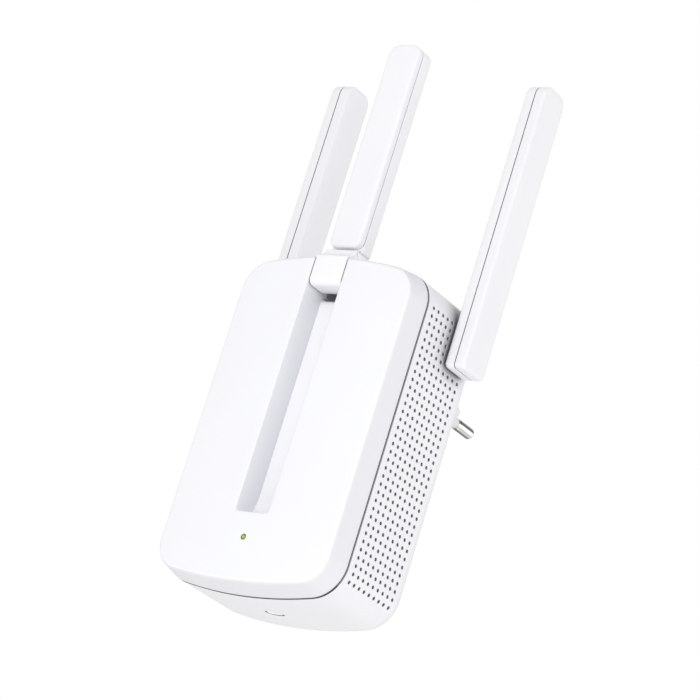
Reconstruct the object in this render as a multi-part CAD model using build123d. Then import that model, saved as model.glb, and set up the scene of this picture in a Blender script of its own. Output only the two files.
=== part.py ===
"""Plug-in wifi range extender with three folding blade antennas.

Frame: the origin is the middle of the plug's face, halfway between its two pins. +Y points out of
the plug into the wall socket, +Z is up and +X is to the right of someone who faces the front cover.
All sizes are in millimetres and degrees.
"""

from build123d import *
import os
from math import radians, sqrt, tan

# ---- Body -------------------------------------------------------------------------------------
BODY_WIDTH = 70.0  # across the seam, the widest line of the body
BODY_HEIGHT = 113.4  # from the crown of the bottom arch to the crown of the top arch
CORNER_RADIUS = 11.5  # corners of the outline, seen from the front
ARCH_RADIUS = 150.0  # the top and bottom edges bow outwards on this radius
PLUG_HEIGHT = 86.4  # plug axis above the bottom of the body
HOUSING_DEPTH = 33.6  # seam to the flat back
COVER_DEPTH = 8.5  # seam to the side edges of the front face
COVER_CROWN = 1.5  # how far the middle of the front face stands in front of its side edges
COVER_SLOPE = 10.5  # the cover's sides lean in by this angle
WALL = 2.0
FACE_EDGE_BEVEL = 1.6
BACK_EDGE_RADIUS = 5.5
BACK_EDGE_INSIDE = 2.6  # bevel that follows the round edge on the inside
SEAM_GAP = 0.4  # the shadow line between the two shells
SKIN = 0.9  # what is left of the housing's wall beside the cover's lip
LIP_LENGTH = 2.4
FIT = 0.1  # clearance of pieces that are fitted to each other

# ---- Vents ------------------------------------------------------------------------------------
VENT_COLUMNS = 5  # every second column and row of the fine grid, in wider holes of the same open area
VENT_ROWS = 18
VENT_COLUMN_PITCH = 5.66
VENT_ROW_PITCH = 5.40
VENT_RADIUS = 1.4
VENT_SIDES = 4  # each hole is a prism of this many sides
VENT_BEHIND_SEAM = 3.64  # seam to the first column
VENT_ABOVE_BOTTOM = 9.6  # bottom of the body to the lowest row
VENT_MARGIN = 0.4  # a hole this close to an antenna's foot is left out

# ---- Antenna bay in the front cover -----------------------------------------------------------
BAY_WIDTH = 13.2
BAY_END = 24.4  # bottom of the body to the lower end of the bay
BAY_DEPTH = 9.55  # front of the face to the floor of the bay
BAY_WALL = 1.6
BAY_SCOOP = 4.5  # the floor rises to the face on this radius, for a fingertip
POCKET_DEPTH = 16.2  # front of the face to the back of the hinge pocket
POCKET_HEIGHT = 15.4  # top of the body down to the floor of the hinge pocket
POCKET_LEAD = 3.0  # round between the bay's floor and the pocket
HINGE_BOSS_RADIUS = 4.4
HINGE_BOSS_LENGTH = 1.8

# ---- Antennas ---------------------------------------------------------------------------------
BLADE_WIDTH = 12.4
BLADE_THICKNESS = 8.0
BLADE_EDGE = 0.9  # bevel along the long edges
BLADE_CORNER = 3.6  # round of the outline at the free end
BLADE_FOOT_CORNER = 1.6
BLADE_WALL = 1.3
BLADE_SEAM = 0.25  # shadow line between the two shells of a blade
BLADE_SEAM_DEPTH = 0.5
STRIP_THICKNESS = 0.8
STRIP_OVERLAP = 0.5  # how far the strip lies on the rim of the front shell

SIDE_LENGTH = 100.2
SIDE_FOOT_DROP = 26.5  # top of the body down to the foot of the side blades
SIDE_Y = -34.6  # hinge axis of the side blades, and the middle of their width
SIDE_HINGE_RISE = 9.2  # hinge axis above the foot
SIDE_GAP = 0.5  # side wall to blade
PIVOT_RADIUS = 4.0
PIVOT_BORE = 2.2
PIVOT_END = 0.8  # pivot beyond the clip
RUNNING_FIT = 0.05
CLIP_THICKNESS = 0.8
CLIP_WIDTH = 10.6
CLIP_BEVEL = 3.1
CLIP_GAP = 0.5  # side wall to the clip, which turns under the round corner

HINGE_BELOW_TOP = 4.8  # centre hinge axis below the top of the body
HINGE_BEHIND_FACE = 6.5
CENTRE_LENGTH = 74.2
CENTRE_FRONT_DEPTH = 2.75  # thickness of the centre blade's front shell
CENTRE_FOOT_RISE = 7.1  # hinge axis to the foot of the centre blade
KNUCKLE_DROP = 7.6  # hinge axis to the underside of the knuckle
KNUCKLE_RISE = 3.4  # hinge axis to the top of the knuckle's flat front
KNUCKLE_INSET = 0.15  # knuckle's front behind the crown of the face
KNUCKLE_TOE = 2.0
KNUCKLE_HEEL = 3.6
KNUCKLE_BROW = 1.0
TRUNNION_RADIUS = 2.5
TENON_WIDTH = 7.0
TENON_LENGTH = 9.0

# ---- Plug -------------------------------------------------------------------------------------
PLINTH_DEPTH = 22.7  # back of the body to the face of the plug
PLINTH_WIDTH = 35.3
PLINTH_HEIGHT = 13.7
PLINTH_FLAT = 26.1  # length of the straight top and bottom of the plug's outline
PLINTH_ROUND = 1.5
PLINTH_FLANGE = 2.0  # collar that holds the plug behind the housing's back wall
PIN_RADIUS = 2.0
PIN_REACH = 19.0
PIN_SPACING = 19.0
PIN_TIP = 0.9
SLEEVE_REACH = 10.0
SLEEVE_RADIUS = 1.8
SHANK_RADIUS = 1.3

# ---- Boards and their posts -------------------------------------------------------------------
BOARD_THICKNESS = 1.2
MAIN_SIDE_MARGIN = 4.0  # side wall to the main board
MAIN_END_MARGIN = 2.7  # top and bottom wall to the main board
MAIN_CORNER = 7.0
POST_INSET = (3.5, 9.0)  # edge of the main board to its screws
POWER_WIDTH = 44.0
POWER_FOOT = 44.0  # plug axis down to the lower edge of the power board
POWER_DROP = 11.0  # top of the body to the top of the power board
STANDOFF = 2.6  # plug collar to the power board
STANDOFF_WIDTH = 6.0
STANDOFF_SPACING = 29.0
POST_RADIUS = 3.0
SCREW_RADIUS = 1.1
SCREW_LENGTH = 5.0
SCREW_HEAD_RADIUS = 2.1
SCREW_HEAD = 1.4
SCREW_SIDES = 6  # screws, their holes and their posts are prisms of this many sides

# ---- Parts on the boards: sizes are (width, depth, height), places on the power board are from the plug axis ---
SHIELD = (28.0, 3.0, 30.0)
SHIELD_WALL = 0.4
SHIELD_DROP = 4.3
PROCESSOR = (14.0, 1.4, 14.0)
MEMORY = (8.0, 1.6, 6.0)
MEMORY_RISE = 20.0
CORE = (16.0, 6.0, 13.0)
CORE_WINDOW = (3.0, 8.2)  # width and height of each of the two windows
CORE_LEG = 5.0  # width of the middle leg that the coil sits on
COIL_DEPTH = 11.4
CORE_DROP = 14.0  # plug axis down to the middle of the transformer
COIL_BEVEL = 1.0
CAN_SIDES = 12  # the capacitors are prisms of this many sides
CAN_RADIUS = 4.0
CAN_LENGTH = 11.0
CAN_PLACE = (13.0, -31.0)
OUTPUT_CAN_RADIUS = 3.0
OUTPUT_CAN_LENGTH = 9.0
RECTIFIER = (6.5, 2.4, 5.0)
RECTIFIER_PLACE = (14.0, -14.0)
FUSE = (4.0, 8.0, 8.4)
FUSE_PLACE = (-14.0, -14.0)
CONNECTOR = (12.0, 3.0)  # width and height of the connector between the boards
CONNECTOR_DROP = 4.0  # top of the power board to the connector

# ---- Lamp and button --------------------------------------------------------------------------
LAMP_HEIGHT = 16.1  # bottom of the body to the lamp
LAMP_RADIUS = 0.85
LAMP_FOOT_WIDTH = 3.4
LAMP_FOOT = 1.2
LAMP_FOOT_GAP = 0.05  # the bowed wall to the flat foot
LED = (3.2, 1.6, 1.6)
LED_GAP = 0.3
BUTTON_BEHIND_SEAM = 16.0
BUTTON_LENGTH = 6.0
BUTTON_BREADTH = 3.0
BUTTON_SINK = 0.3  # the button's face sits this deep in its hole
BUTTON_GAP = 0.35
BUTTON_COLLAR = 1.0
COLLAR_GAP = 0.3  # inside of the bottom wall to the collar
BUTTON_LEDGE = 1.2  # the collar reaches this far past the button's sides
BUTTON_TRAVEL = 0.4
SWITCH = (6.0, 7.0, 3.6)
SWITCH_AXIS = 3.5  # main board to the axis of the switch's plunger
SWITCH_GAP = 0.7  # button collar to the switch
PLUNGER_WIDTH = 2.4
PLUNGER_REACH = 0.8  # how far the plunger enters the switch

# ---- Levels that follow from the sizes above --------------------------------------------------
BACK_Y = -PLINTH_DEPTH
SEAM_Y = BACK_Y - HOUSING_DEPTH
FACE_Y = SEAM_Y - COVER_DEPTH - COVER_CROWN
COVER_EDGE_Y = SEAM_Y - SEAM_GAP / 2
HOUSING_EDGE_Y = SEAM_Y + SEAM_GAP / 2
BOTTOM_Z = -PLUG_HEIGHT
TOP_Z = BOTTOM_Z + BODY_HEIGHT
MIDDLE_Z = (BOTTOM_Z + TOP_Z) / 2
HINGE_Y = FACE_Y + HINGE_BEHIND_FACE
HINGE_Z = TOP_Z - HINGE_BELOW_TOP
HINGE_REACH = BAY_WIDTH / 2 + BAY_WALL + HINGE_BOSS_LENGTH
SIDE_FOOT_Z = TOP_Z - SIDE_FOOT_DROP
SIDE_HINGE_Z = SIDE_FOOT_Z + SIDE_HINGE_RISE
BUTTON_Y = SEAM_Y + BUTTON_BEHIND_SEAM
MAIN_BACK_Y = BUTTON_Y - SWITCH_AXIS
MAIN_FRONT_Y = MAIN_BACK_Y - BOARD_THICKNESS
MAIN_WIDTH = BODY_WIDTH - 2 * (WALL + MAIN_SIDE_MARGIN)
MAIN_HEIGHT = BODY_HEIGHT - 2 * (WALL + MAIN_END_MARGIN)
FLANGE_Y = BACK_Y - WALL - PLINTH_FLANGE
POWER_BACK_Y = FLANGE_Y - STANDOFF
POWER_FRONT_Y = POWER_BACK_Y - BOARD_THICKNESS
POWER_TOP_Z = TOP_Z - POWER_DROP
LAMP_Z = BOTTOM_Z + LAMP_HEIGHT
COLLAR_Z = BOTTOM_Z + WALL + COLLAR_GAP
SWITCH_Z = COLLAR_Z + BUTTON_COLLAR + SWITCH_GAP
BEYOND = 3 * WALL  # how far a cutter runs past what it cuts

ALONG_X = Plane(origin=(0, 0, 0), x_dir=(0, 1, 0), z_dir=(1, 0, 0))
SIDES = {-1: "left", 1: "right"}


def facing_back(y, z=0.0):
    """Drawing plane at y that looks out of the back."""
    return Plane(origin=(0, y, z), x_dir=(1, 0, 0), z_dir=(0, 1, 0))


def facing_front(y, z=0.0):
    """Drawing plane at y that looks out of the front."""
    return Plane(origin=(0, y, z), x_dir=(1, 0, 0), z_dir=(0, -1, 0))


def block(x, y, z):
    """A box given by its (low, high) pairs."""
    size = (x[1] - x[0], y[1] - y[0], z[1] - z[0])
    return Pos(x[0], y[0], z[0]) * Box(*size, align=(Align.MIN, Align.MIN, Align.MIN))


def around(middle, width):
    """The (low, high) pair of a given width around its middle."""
    return (middle - width / 2, middle + width / 2)


def rod(radius, start, end, centre):
    """A cylinder along Y from start to end, centred on centre = (x, z)."""
    base = Plane(origin=(centre[0], start, centre[1]), x_dir=(1, 0, 0), z_dir=(0, 1, 0))
    return base * Cylinder(radius, end - start, align=(Align.CENTER, Align.CENTER, Align.MIN))


def axle(radius, start, end, centre):
    """A cylinder along X from start to end, centred on centre = (y, z)."""
    base = Plane(origin=(start, centre[0], centre[1]), x_dir=(0, 1, 0), z_dir=(1, 0, 0))
    return base * Cylinder(radius, end - start, align=(Align.CENTER, Align.CENTER, Align.MIN))


def prism(radius, sides, start, end, centre):
    """A many-sided prism along Y from start to end, centred on centre = (x, z)."""
    base = Plane(origin=(centre[0], start, centre[1]), x_dir=(1, 0, 0), z_dir=(0, 1, 0))
    return extrude(base * RegularPolygon(radius, sides), end - start)


# ---- Forms of the body ------------------------------------------------------------------------
def outline(inset):
    """The body's outline drawn in by inset: straight sides, bowed ends and round corners."""
    half = BODY_WIDTH / 2 - inset
    rise = BODY_HEIGHT / 2 - inset
    corner = CORNER_RADIUS - inset
    reach = sqrt((ARCH_RADIUS - CORNER_RADIUS) ** 2 - (half - corner) ** 2)
    centre = Vector(half - corner, BODY_HEIGHT / 2 - ARCH_RADIUS + reach)
    lean = Vector(half - corner, reach).normalized()
    tangent = centre + lean * corner
    middle = centre + (lean + Vector(1, 0)).normalized() * corner
    edges = []
    for side in (1, -1):
        edges.append(ThreePointArc((-tangent.X, side * tangent.Y), (0, side * rise), (tangent.X, side * tangent.Y)))
        edges.append(Line((side * half, -centre.Y), (side * half, centre.Y)))
        for end in (1, -1):
            start = (side * tangent.X, end * tangent.Y)
            through = (side * middle.X, end * middle.Y)
            edges.append(ThreePointArc(start, through, (side * half, end * centre.Y)))
    return make_face(edges)


def crown(inset):
    """The space behind the bowed front face, drawn in by inset."""
    half = BODY_WIDTH / 2 - COVER_DEPTH * tan(radians(COVER_SLOPE))
    radius = (half**2 + COVER_CROWN**2) / (2 * COVER_CROWN)
    return Pos(0, FACE_Y + radius, MIDDLE_Z) * Cylinder(radius - inset, 2 * BODY_HEIGHT)


def cover_form(inset):
    """The cover's outer form drawn in by inset, from its edge at the seam to the front."""
    base = facing_front(COVER_EDGE_Y, MIDDLE_Z) * outline(inset)
    return extrude(base, COVER_EDGE_Y - FACE_Y + WALL, taper=COVER_SLOPE) & crown(inset)


def straight_form(inset, start, end):
    """The outline drawn in by inset, as a straight solid from start to end."""
    return extrude(facing_back(start, MIDDLE_Z) * outline(inset), end - start)


def housing_outside():
    """The housing's solid form: straight sides and a rounded back edge."""
    form = straight_form(0, HOUSING_EDGE_Y, BACK_Y)
    return fillet(form.faces().sort_by(Axis.Y)[-1].edges(), BACK_EDGE_RADIUS)


def housing_inside():
    """The housing's hollow, with a bevel inside the rounded back edge."""
    form = straight_form(WALL, HOUSING_EDGE_Y, BACK_Y - WALL)
    return chamfer(form.faces().sort_by(Axis.Y)[-1].edges(), BACK_EDGE_INSIDE)


def bay_form(grow):
    """Antenna bay enlarged by grow: channel with a scooped lower end, and the deeper hinge pocket."""
    floor_y = FACE_Y + BAY_DEPTH + grow
    pocket_y = FACE_Y + POCKET_DEPTH + grow
    end_z = BOTTOM_Z + BAY_END - grow
    pocket_z = TOP_Z - POCKET_HEIGHT - grow
    front_y = FACE_Y - BEYOND
    high_z = TOP_Z + BEYOND
    corners = [(front_y, end_z), (floor_y, end_z), (floor_y, pocket_z)]
    corners += [(pocket_y, pocket_z), (pocket_y, high_z), (front_y, high_z)]
    side_view = make_face(Polyline(*corners, close=True))
    scoop = side_view.vertices().sort_by_distance((floor_y, end_z, 0))[0]
    side_view = fillet(scoop, BAY_SCOOP + grow)
    lead = side_view.vertices().sort_by_distance((floor_y, pocket_z, 0))[0]
    side_view = fillet(lead, POCKET_LEAD)
    return extrude(ALONG_X * side_view, BAY_WIDTH / 2 + grow, both=True)


def vent_cutters():
    """The holes in both side walls, in a plain grid that leaves out the antennas' feet."""
    foot_low = SIDE_FOOT_Z - VENT_MARGIN
    foot_front = SIDE_Y - BLADE_WIDTH / 2 - VENT_MARGIN
    hole = extrude(ALONG_X * RegularPolygon(VENT_RADIUS, VENT_SIDES), BEYOND / 2, both=True)
    cutters = []
    for column in range(VENT_COLUMNS):
        y = SEAM_Y + VENT_BEHIND_SEAM + column * VENT_COLUMN_PITCH
        for row in range(VENT_ROWS):
            z = BOTTOM_Z + VENT_ABOVE_BOTTOM + row * VENT_ROW_PITCH
            if z > foot_low and y > foot_front:
                continue
            for side in SIDES:
                cutters.append(Pos(side * (BODY_WIDTH - WALL) / 2, y, z) * hole)
    return cutters


def button_pill(grow, low, high):
    """An upright solid with the button's stadium outline enlarged by grow."""
    shape = SlotOverall(BUTTON_LENGTH + 2 * grow, BUTTON_BREADTH + 2 * grow)
    return extrude(Pos(0, BUTTON_Y, low) * shape, high - low)


def plug_form(grow, start, end):
    """The plug's flat six-sided outline with rounded corners, enlarged by grow, from start to end."""
    half = PLINTH_WIDTH / 2 + grow
    rise = PLINTH_HEIGHT / 2 + grow
    flat = PLINTH_FLAT / 2 + grow / 2
    corners = [(half, 0), (flat, rise), (-flat, rise), (-half, 0), (-flat, -rise), (flat, -rise)]
    shape = make_face(Polyline(*corners, close=True))
    shape = fillet(shape.vertices(), PLINTH_ROUND)
    return extrude(facing_back(start) * shape, end - start)


def main_screws():
    """(x, z) of the main board's four screws."""
    x = MAIN_WIDTH / 2 - POST_INSET[0]
    z = MAIN_HEIGHT / 2 - POST_INSET[1]
    return [(side * x, MIDDLE_Z + end * z) for side in SIDES for end in (-1, 1)]


def power_screws():
    """(x, z) of the power board's two screws, beside the pins."""
    return [(side * STANDOFF_SPACING / 2, 0) for side in SIDES]


# ---- The two shells of the body ---------------------------------------------------------------
def make_front_cover():
    """Bowed front with the antenna bay, hinge bosses, lamp hole and a lip that enters the housing."""
    outer = cover_form(0)
    face = outer.faces().sort_by(Axis.Y)[0]
    outer = chamfer(face.edges(), FACE_EDGE_BEVEL)
    lip_end = HOUSING_EDGE_Y + LIP_LENGTH
    lip = straight_form(SKIN + FIT, COVER_EDGE_Y, lip_end) - straight_form(WALL, COVER_EDGE_Y, lip_end)
    shell = outer - cover_form(WALL) + lip
    envelope = outer + straight_form(0, COVER_EDGE_Y, HOUSING_EDGE_Y) + housing_outside()
    boss = axle(HINGE_BOSS_RADIUS, -HINGE_REACH, HINGE_REACH, (HINGE_Y, HINGE_Z))
    shell += (bay_form(BAY_WALL) + boss) & envelope
    shell -= bay_form(0)
    shell -= axle(TRUNNION_RADIUS + RUNNING_FIT, -HINGE_REACH, HINGE_REACH, (HINGE_Y, HINGE_Z))
    shell -= rod(LAMP_RADIUS + FIT, FACE_Y - BEYOND, SEAM_Y, (0, LAMP_Z))
    return shell


def make_rear_housing():
    """Deep tray with vented sides, a cut-out for the plug, pivot holes, a button hole and board posts."""
    shell = housing_outside() - housing_inside()
    shell -= straight_form(SKIN, HOUSING_EDGE_Y, HOUSING_EDGE_Y + LIP_LENGTH)
    for place in main_screws():
        shell += prism(POST_RADIUS, SCREW_SIDES, MAIN_BACK_Y, BACK_Y - WALL / 2, place)
        shell -= prism(SCREW_RADIUS, SCREW_SIDES, MAIN_BACK_Y, MAIN_BACK_Y + SCREW_LENGTH, place)
    notch = BAY_WIDTH / 2 + BAY_WALL + FIT
    notch_back = FACE_Y + POCKET_DEPTH + BAY_WALL + FIT
    shell -= block((-notch, notch), (SEAM_Y, notch_back), (TOP_Z - POCKET_HEIGHT, TOP_Z + BEYOND))
    shell -= plug_form(FIT, BACK_Y - BEYOND, BACK_Y + BEYOND)
    shell -= axle(PIVOT_RADIUS + RUNNING_FIT, -BODY_WIDTH, BODY_WIDTH, (SIDE_Y, SIDE_HINGE_Z))
    shell -= button_pill(BUTTON_GAP, BOTTOM_Z - BEYOND, BOTTOM_Z + BEYOND)
    return shell - vent_cutters()


# ---- Plug -------------------------------------------------------------------------------------
def make_plug_block():
    """Solid plug body that stands out of the back, held by a collar, with two seats for the power board."""
    body = plug_form(0, FLANGE_Y, 0) + plug_form(PLINTH_FLANGE, FLANGE_Y, BACK_Y - WALL)
    for side in SIDES:
        body -= rod(SLEEVE_RADIUS, FLANGE_Y, BEYOND, (side * PIN_SPACING / 2, 0))
    for x, z in power_screws():
        body += block(around(x, STANDOFF_WIDTH), (POWER_BACK_Y, FLANGE_Y), around(z, STANDOFF_WIDTH))
        body -= prism(SCREW_RADIUS, SCREW_SIDES, POWER_BACK_Y, POWER_BACK_Y + SCREW_LENGTH, (x, z))
    return body


def make_pin(side):
    """Metal pin: a bare end with a bevelled tip, and a thinner shank through the sleeve to the board."""
    centre = (side * PIN_SPACING / 2, 0)
    tip = rod(PIN_RADIUS, SLEEVE_REACH, PIN_REACH, centre)
    tip = chamfer(tip.edges().sort_by(Axis.Y)[-1], PIN_TIP)
    return tip + rod(SHANK_RADIUS, POWER_BACK_Y, SLEEVE_REACH, centre)


def make_sleeve(side):
    """Insulating sleeve on the pin's root, seated in the plug block."""
    centre = (side * PIN_SPACING / 2, 0)
    return rod(SLEEVE_RADIUS, FLANGE_Y, SLEEVE_REACH, centre) - rod(SHANK_RADIUS, FLANGE_Y, SLEEVE_REACH, centre)


# ---- Antennas ---------------------------------------------------------------------------------
def blade_outline(inset, foot, length):
    """The blade seen from its broad side, drawn in by inset, with its foot at z = foot."""
    shape = Pos(0, foot + length / 2) * Rectangle(BLADE_WIDTH - 2 * inset, length - 2 * inset)
    shape = fillet(shape.vertices().group_by(Axis.Y)[-1], BLADE_CORNER - inset)
    return fillet(shape.vertices().sort_by(Axis.Y)[:2], BLADE_FOOT_CORNER - inset)


def blade_pieces(front_depth, foot, length):
    """Front shell, back shell and radiator strip of a blade whose seam lies in the plane y = 0."""
    back_depth = BLADE_THICKNESS - front_depth
    form = extrude(facing_front(back_depth) * blade_outline(0, foot, length), BLADE_THICKNESS)
    form = chamfer(form.faces().filter_by(Axis.Y).edges(), BLADE_EDGE)
    edge = BLADE_SEAM / 2
    front = split(form, Plane.XZ.offset(edge), keep=Keep.TOP)
    front += extrude(facing_front(edge) * blade_outline(BLADE_SEAM_DEPTH, foot, length), BLADE_SEAM)
    back = split(form, Plane.XZ.offset(-edge), keep=Keep.BOTTOM)
    wall_x = BLADE_WIDTH / 2 - BLADE_WALL
    wall_z = (foot + BLADE_WALL, foot + length - BLADE_WALL)
    hollow = block((-wall_x, wall_x), (BLADE_WALL - front_depth, back_depth - BLADE_WALL), wall_z)
    strip_x = wall_x + STRIP_OVERLAP
    strip_z = (wall_z[0] - STRIP_OVERLAP, wall_z[1] - BLADE_CORNER)
    strip = block((-strip_x, strip_x), (edge, edge + STRIP_THICKNESS), strip_z)
    room_z = (strip_z[0] - FIT, strip_z[1] + FIT)
    room = block((-strip_x - FIT, strip_x + FIT), (edge, edge + STRIP_THICKNESS + FIT), room_z)
    return front - hollow, back - hollow - room, strip


def make_centre_antenna():
    """Knuckle with its two trunnions and a tenon, the blade's two shells and its radiator strip."""
    front, rear, strip = blade_pieces(CENTRE_FRONT_DEPTH, CENTRE_FOOT_RISE, CENTRE_LENGTH)
    toe_y = KNUCKLE_INSET - HINGE_BEHIND_FACE
    heel_y = BLADE_THICKNESS - CENTRE_FRONT_DEPTH
    toe, heel = (toe_y, -KNUCKLE_DROP), (heel_y, -KNUCKLE_DROP)
    brow = (toe_y, KNUCKLE_RISE)
    corners = [toe, brow, (-CENTRE_FRONT_DEPTH, CENTRE_FOOT_RISE), (heel_y, CENTRE_FOOT_RISE), heel]
    side_view = make_face(Polyline(*corners, close=True))
    for corner, radius in ((toe, KNUCKLE_TOE), (heel, KNUCKLE_HEEL), (brow, KNUCKLE_BROW)):
        side_view = fillet(side_view.vertices().sort_by_distance((*corner, 0))[0], radius)
    knuckle = extrude(ALONG_X * side_view, BLADE_WIDTH / 2, both=True)
    knuckle += axle(TRUNNION_RADIUS, -HINGE_REACH, HINGE_REACH, (0, 0))
    tenon_y = (BLADE_SEAM / 2 + STRIP_THICKNESS + 2 * FIT, heel_y - BLADE_WALL - FIT)
    tenon_z = (CENTRE_FOOT_RISE, CENTRE_FOOT_RISE + TENON_LENGTH)
    knuckle += block(around(0, TENON_WIDTH), tenon_y, tenon_z)
    rear -= block(around(0, TENON_WIDTH + 2 * FIT), (tenon_y[0] - FIT, tenon_y[1] + FIT), tenon_z)
    pieces = {"knuckle": knuckle, "front_shell": front, "rear_shell": rear, "radiator": strip}
    return {name: Pos(0, HINGE_Y, HINGE_Z) * piece for name, piece in pieces.items()}


def make_side_antenna():
    """Right-hand antenna: inner shell with its hollow pivot, outer shell, radiator strip and clip."""
    inner_x = BODY_WIDTH / 2 + SIDE_GAP
    depth = BLADE_THICKNESS / 2
    inner, outer, strip = blade_pieces(depth, -SIDE_HINGE_RISE, SIDE_LENGTH)
    upright = Pos(inner_x + depth, SIDE_Y, SIDE_HINGE_Z) * Rot(0, 0, -90)
    centre = (SIDE_Y, SIDE_HINGE_Z)
    clip_high = BODY_WIDTH / 2 - WALL - CLIP_GAP
    clip_low = clip_high - CLIP_THICKNESS
    pivot_low = clip_low - PIVOT_END
    inner = upright * inner + axle(PIVOT_RADIUS, pivot_low, inner_x + BLADE_WALL, centre)
    inner -= axle(PIVOT_BORE, pivot_low, inner_x + BLADE_WALL, centre)
    clip = block((clip_low, clip_high), around(SIDE_Y, CLIP_WIDTH), around(SIDE_HINGE_Z, CLIP_WIDTH))
    clip = chamfer(clip.edges().filter_by(Axis.X), CLIP_BEVEL) - axle(PIVOT_RADIUS, clip_low, clip_high, centre)
    return {"inner_shell": inner, "outer_shell": upright * outer, "radiator": upright * strip, "clip": clip}


# ---- Boards -----------------------------------------------------------------------------------
def board(width, back_y, z, screws):
    """Circuit board with screw holes, with its back at back_y, between the two heights z."""
    panel = block(around(0, width), (back_y - BOARD_THICKNESS, back_y), z)
    for place in screws:
        panel -= prism(SCREW_RADIUS + FIT, SCREW_SIDES, back_y - BOARD_THICKNESS, back_y, place)
    return panel


def make_main_board():
    """Radio board that fills the front of the housing, with the housing's round corners."""
    panel = board(MAIN_WIDTH, MAIN_BACK_Y, around(MIDDLE_Z, MAIN_HEIGHT), main_screws())
    corners = panel.edges().filter_by(Axis.Y).sort_by(lambda edge: abs(edge.center().X))[-4:]
    return fillet(corners, MAIN_CORNER)


def make_screws(places, board_y):
    """The screws of a board whose front is at board_y."""
    shank_end = board_y + BOARD_THICKNESS + SCREW_LENGTH - SCREW_HEAD
    screws = []
    for place in places:
        head = prism(SCREW_HEAD_RADIUS, SCREW_SIDES, board_y - SCREW_HEAD, board_y, place)
        screws.append(head + prism(SCREW_RADIUS, SCREW_SIDES, board_y, shank_end, place))
    return Compound(children=screws)


def on_front(size, board_y, x, z):
    """A block of (width, depth, height) that stands on the front of a board."""
    return block(around(x, size[0]), (board_y - size[1], board_y), around(z, size[2]))


def make_shield():
    """Thin metal can over the processor, open towards the board."""
    width, depth, height = SHIELD
    middle_z = MIDDLE_Z - SHIELD_DROP
    inside = (width - 2 * SHIELD_WALL, depth - SHIELD_WALL, height - 2 * SHIELD_WALL)
    return on_front(SHIELD, MAIN_FRONT_Y, 0, middle_z) - on_front(inside, MAIN_FRONT_Y, 0, middle_z)


def make_transformer():
    """Ferrite core with two windows, and the coil that fills them around the middle leg."""
    width, depth, height = CORE
    middle_y = POWER_FRONT_Y - COIL_DEPTH / 2
    opening = CORE_LEG + 2 * CORE_WINDOW[0]
    core = block(around(0, width), around(middle_y, depth), around(-CORE_DROP, height))
    leg = block(around(0, CORE_LEG), around(middle_y, depth), around(-CORE_DROP, height))
    core -= block(around(0, opening), around(middle_y, depth), around(-CORE_DROP, CORE_WINDOW[1])) - leg
    coil = block(around(0, opening - 2 * FIT), around(middle_y, COIL_DEPTH), around(-CORE_DROP, CORE_WINDOW[1]))
    return core, chamfer(coil.edges().filter_by(Axis.Z), COIL_BEVEL) - leg


def make_can(radius, length, x):
    """Upright capacitor on the power board, in the row of capacitors."""
    return prism(radius, CAN_SIDES, POWER_FRONT_Y - length, POWER_FRONT_Y, (x, CAN_PLACE[1]))


def make_connector():
    """Connector that joins the fronts and backs of the two boards."""
    middle_z = POWER_TOP_Z - CONNECTOR_DROP
    return block(around(0, CONNECTOR[0]), (MAIN_BACK_Y, POWER_FRONT_Y), around(middle_z, CONNECTOR[1]))


# ---- Lamp and button --------------------------------------------------------------------------
def make_light_pipe():
    """Clear rod from the lamp on the board to the front face, with a foot behind the cover's wall."""
    foot_start = FACE_Y + WALL + LAMP_FOOT_GAP
    foot_y = (foot_start, foot_start + LAMP_FOOT)
    pipe = rod(LAMP_RADIUS, FACE_Y, MAIN_FRONT_Y - LED[1] - LED_GAP, (0, LAMP_Z))
    return pipe + block(around(0, LAMP_FOOT_WIDTH), foot_y, around(LAMP_Z, LAMP_FOOT_WIDTH))


def make_button():
    """Button with a collar inside the housing, and the switch's plunger that it pushes."""
    collar_top = COLLAR_Z + BUTTON_COLLAR
    length, breadth = BUTTON_LENGTH + 2 * BUTTON_LEDGE, BUTTON_BREADTH + 2 * BUTTON_LEDGE
    cap = button_pill(0, BOTTOM_Z + BUTTON_SINK, COLLAR_Z)
    cap += block(around(0, length), around(BUTTON_Y, breadth), (COLLAR_Z, collar_top))
    plunger_z = (collar_top, SWITCH_Z + PLUNGER_REACH)
    return cap, block(around(0, PLUNGER_WIDTH), around(BUTTON_Y, PLUNGER_WIDTH), plunger_z)


def make_switch():
    """Switch on the back of the main board, with a guide for the plunger."""
    width, depth, height = SWITCH
    body = block(around(0, width), (MAIN_BACK_Y, MAIN_BACK_Y + depth), (SWITCH_Z, SWITCH_Z + height))
    guide = PLUNGER_WIDTH + 2 * FIT
    guide_top = SWITCH_Z + PLUNGER_REACH + BUTTON_TRAVEL + BUTTON_GAP
    return body - block(around(0, guide), around(BUTTON_Y, guide), (SWITCH_Z, guide_top))


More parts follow.
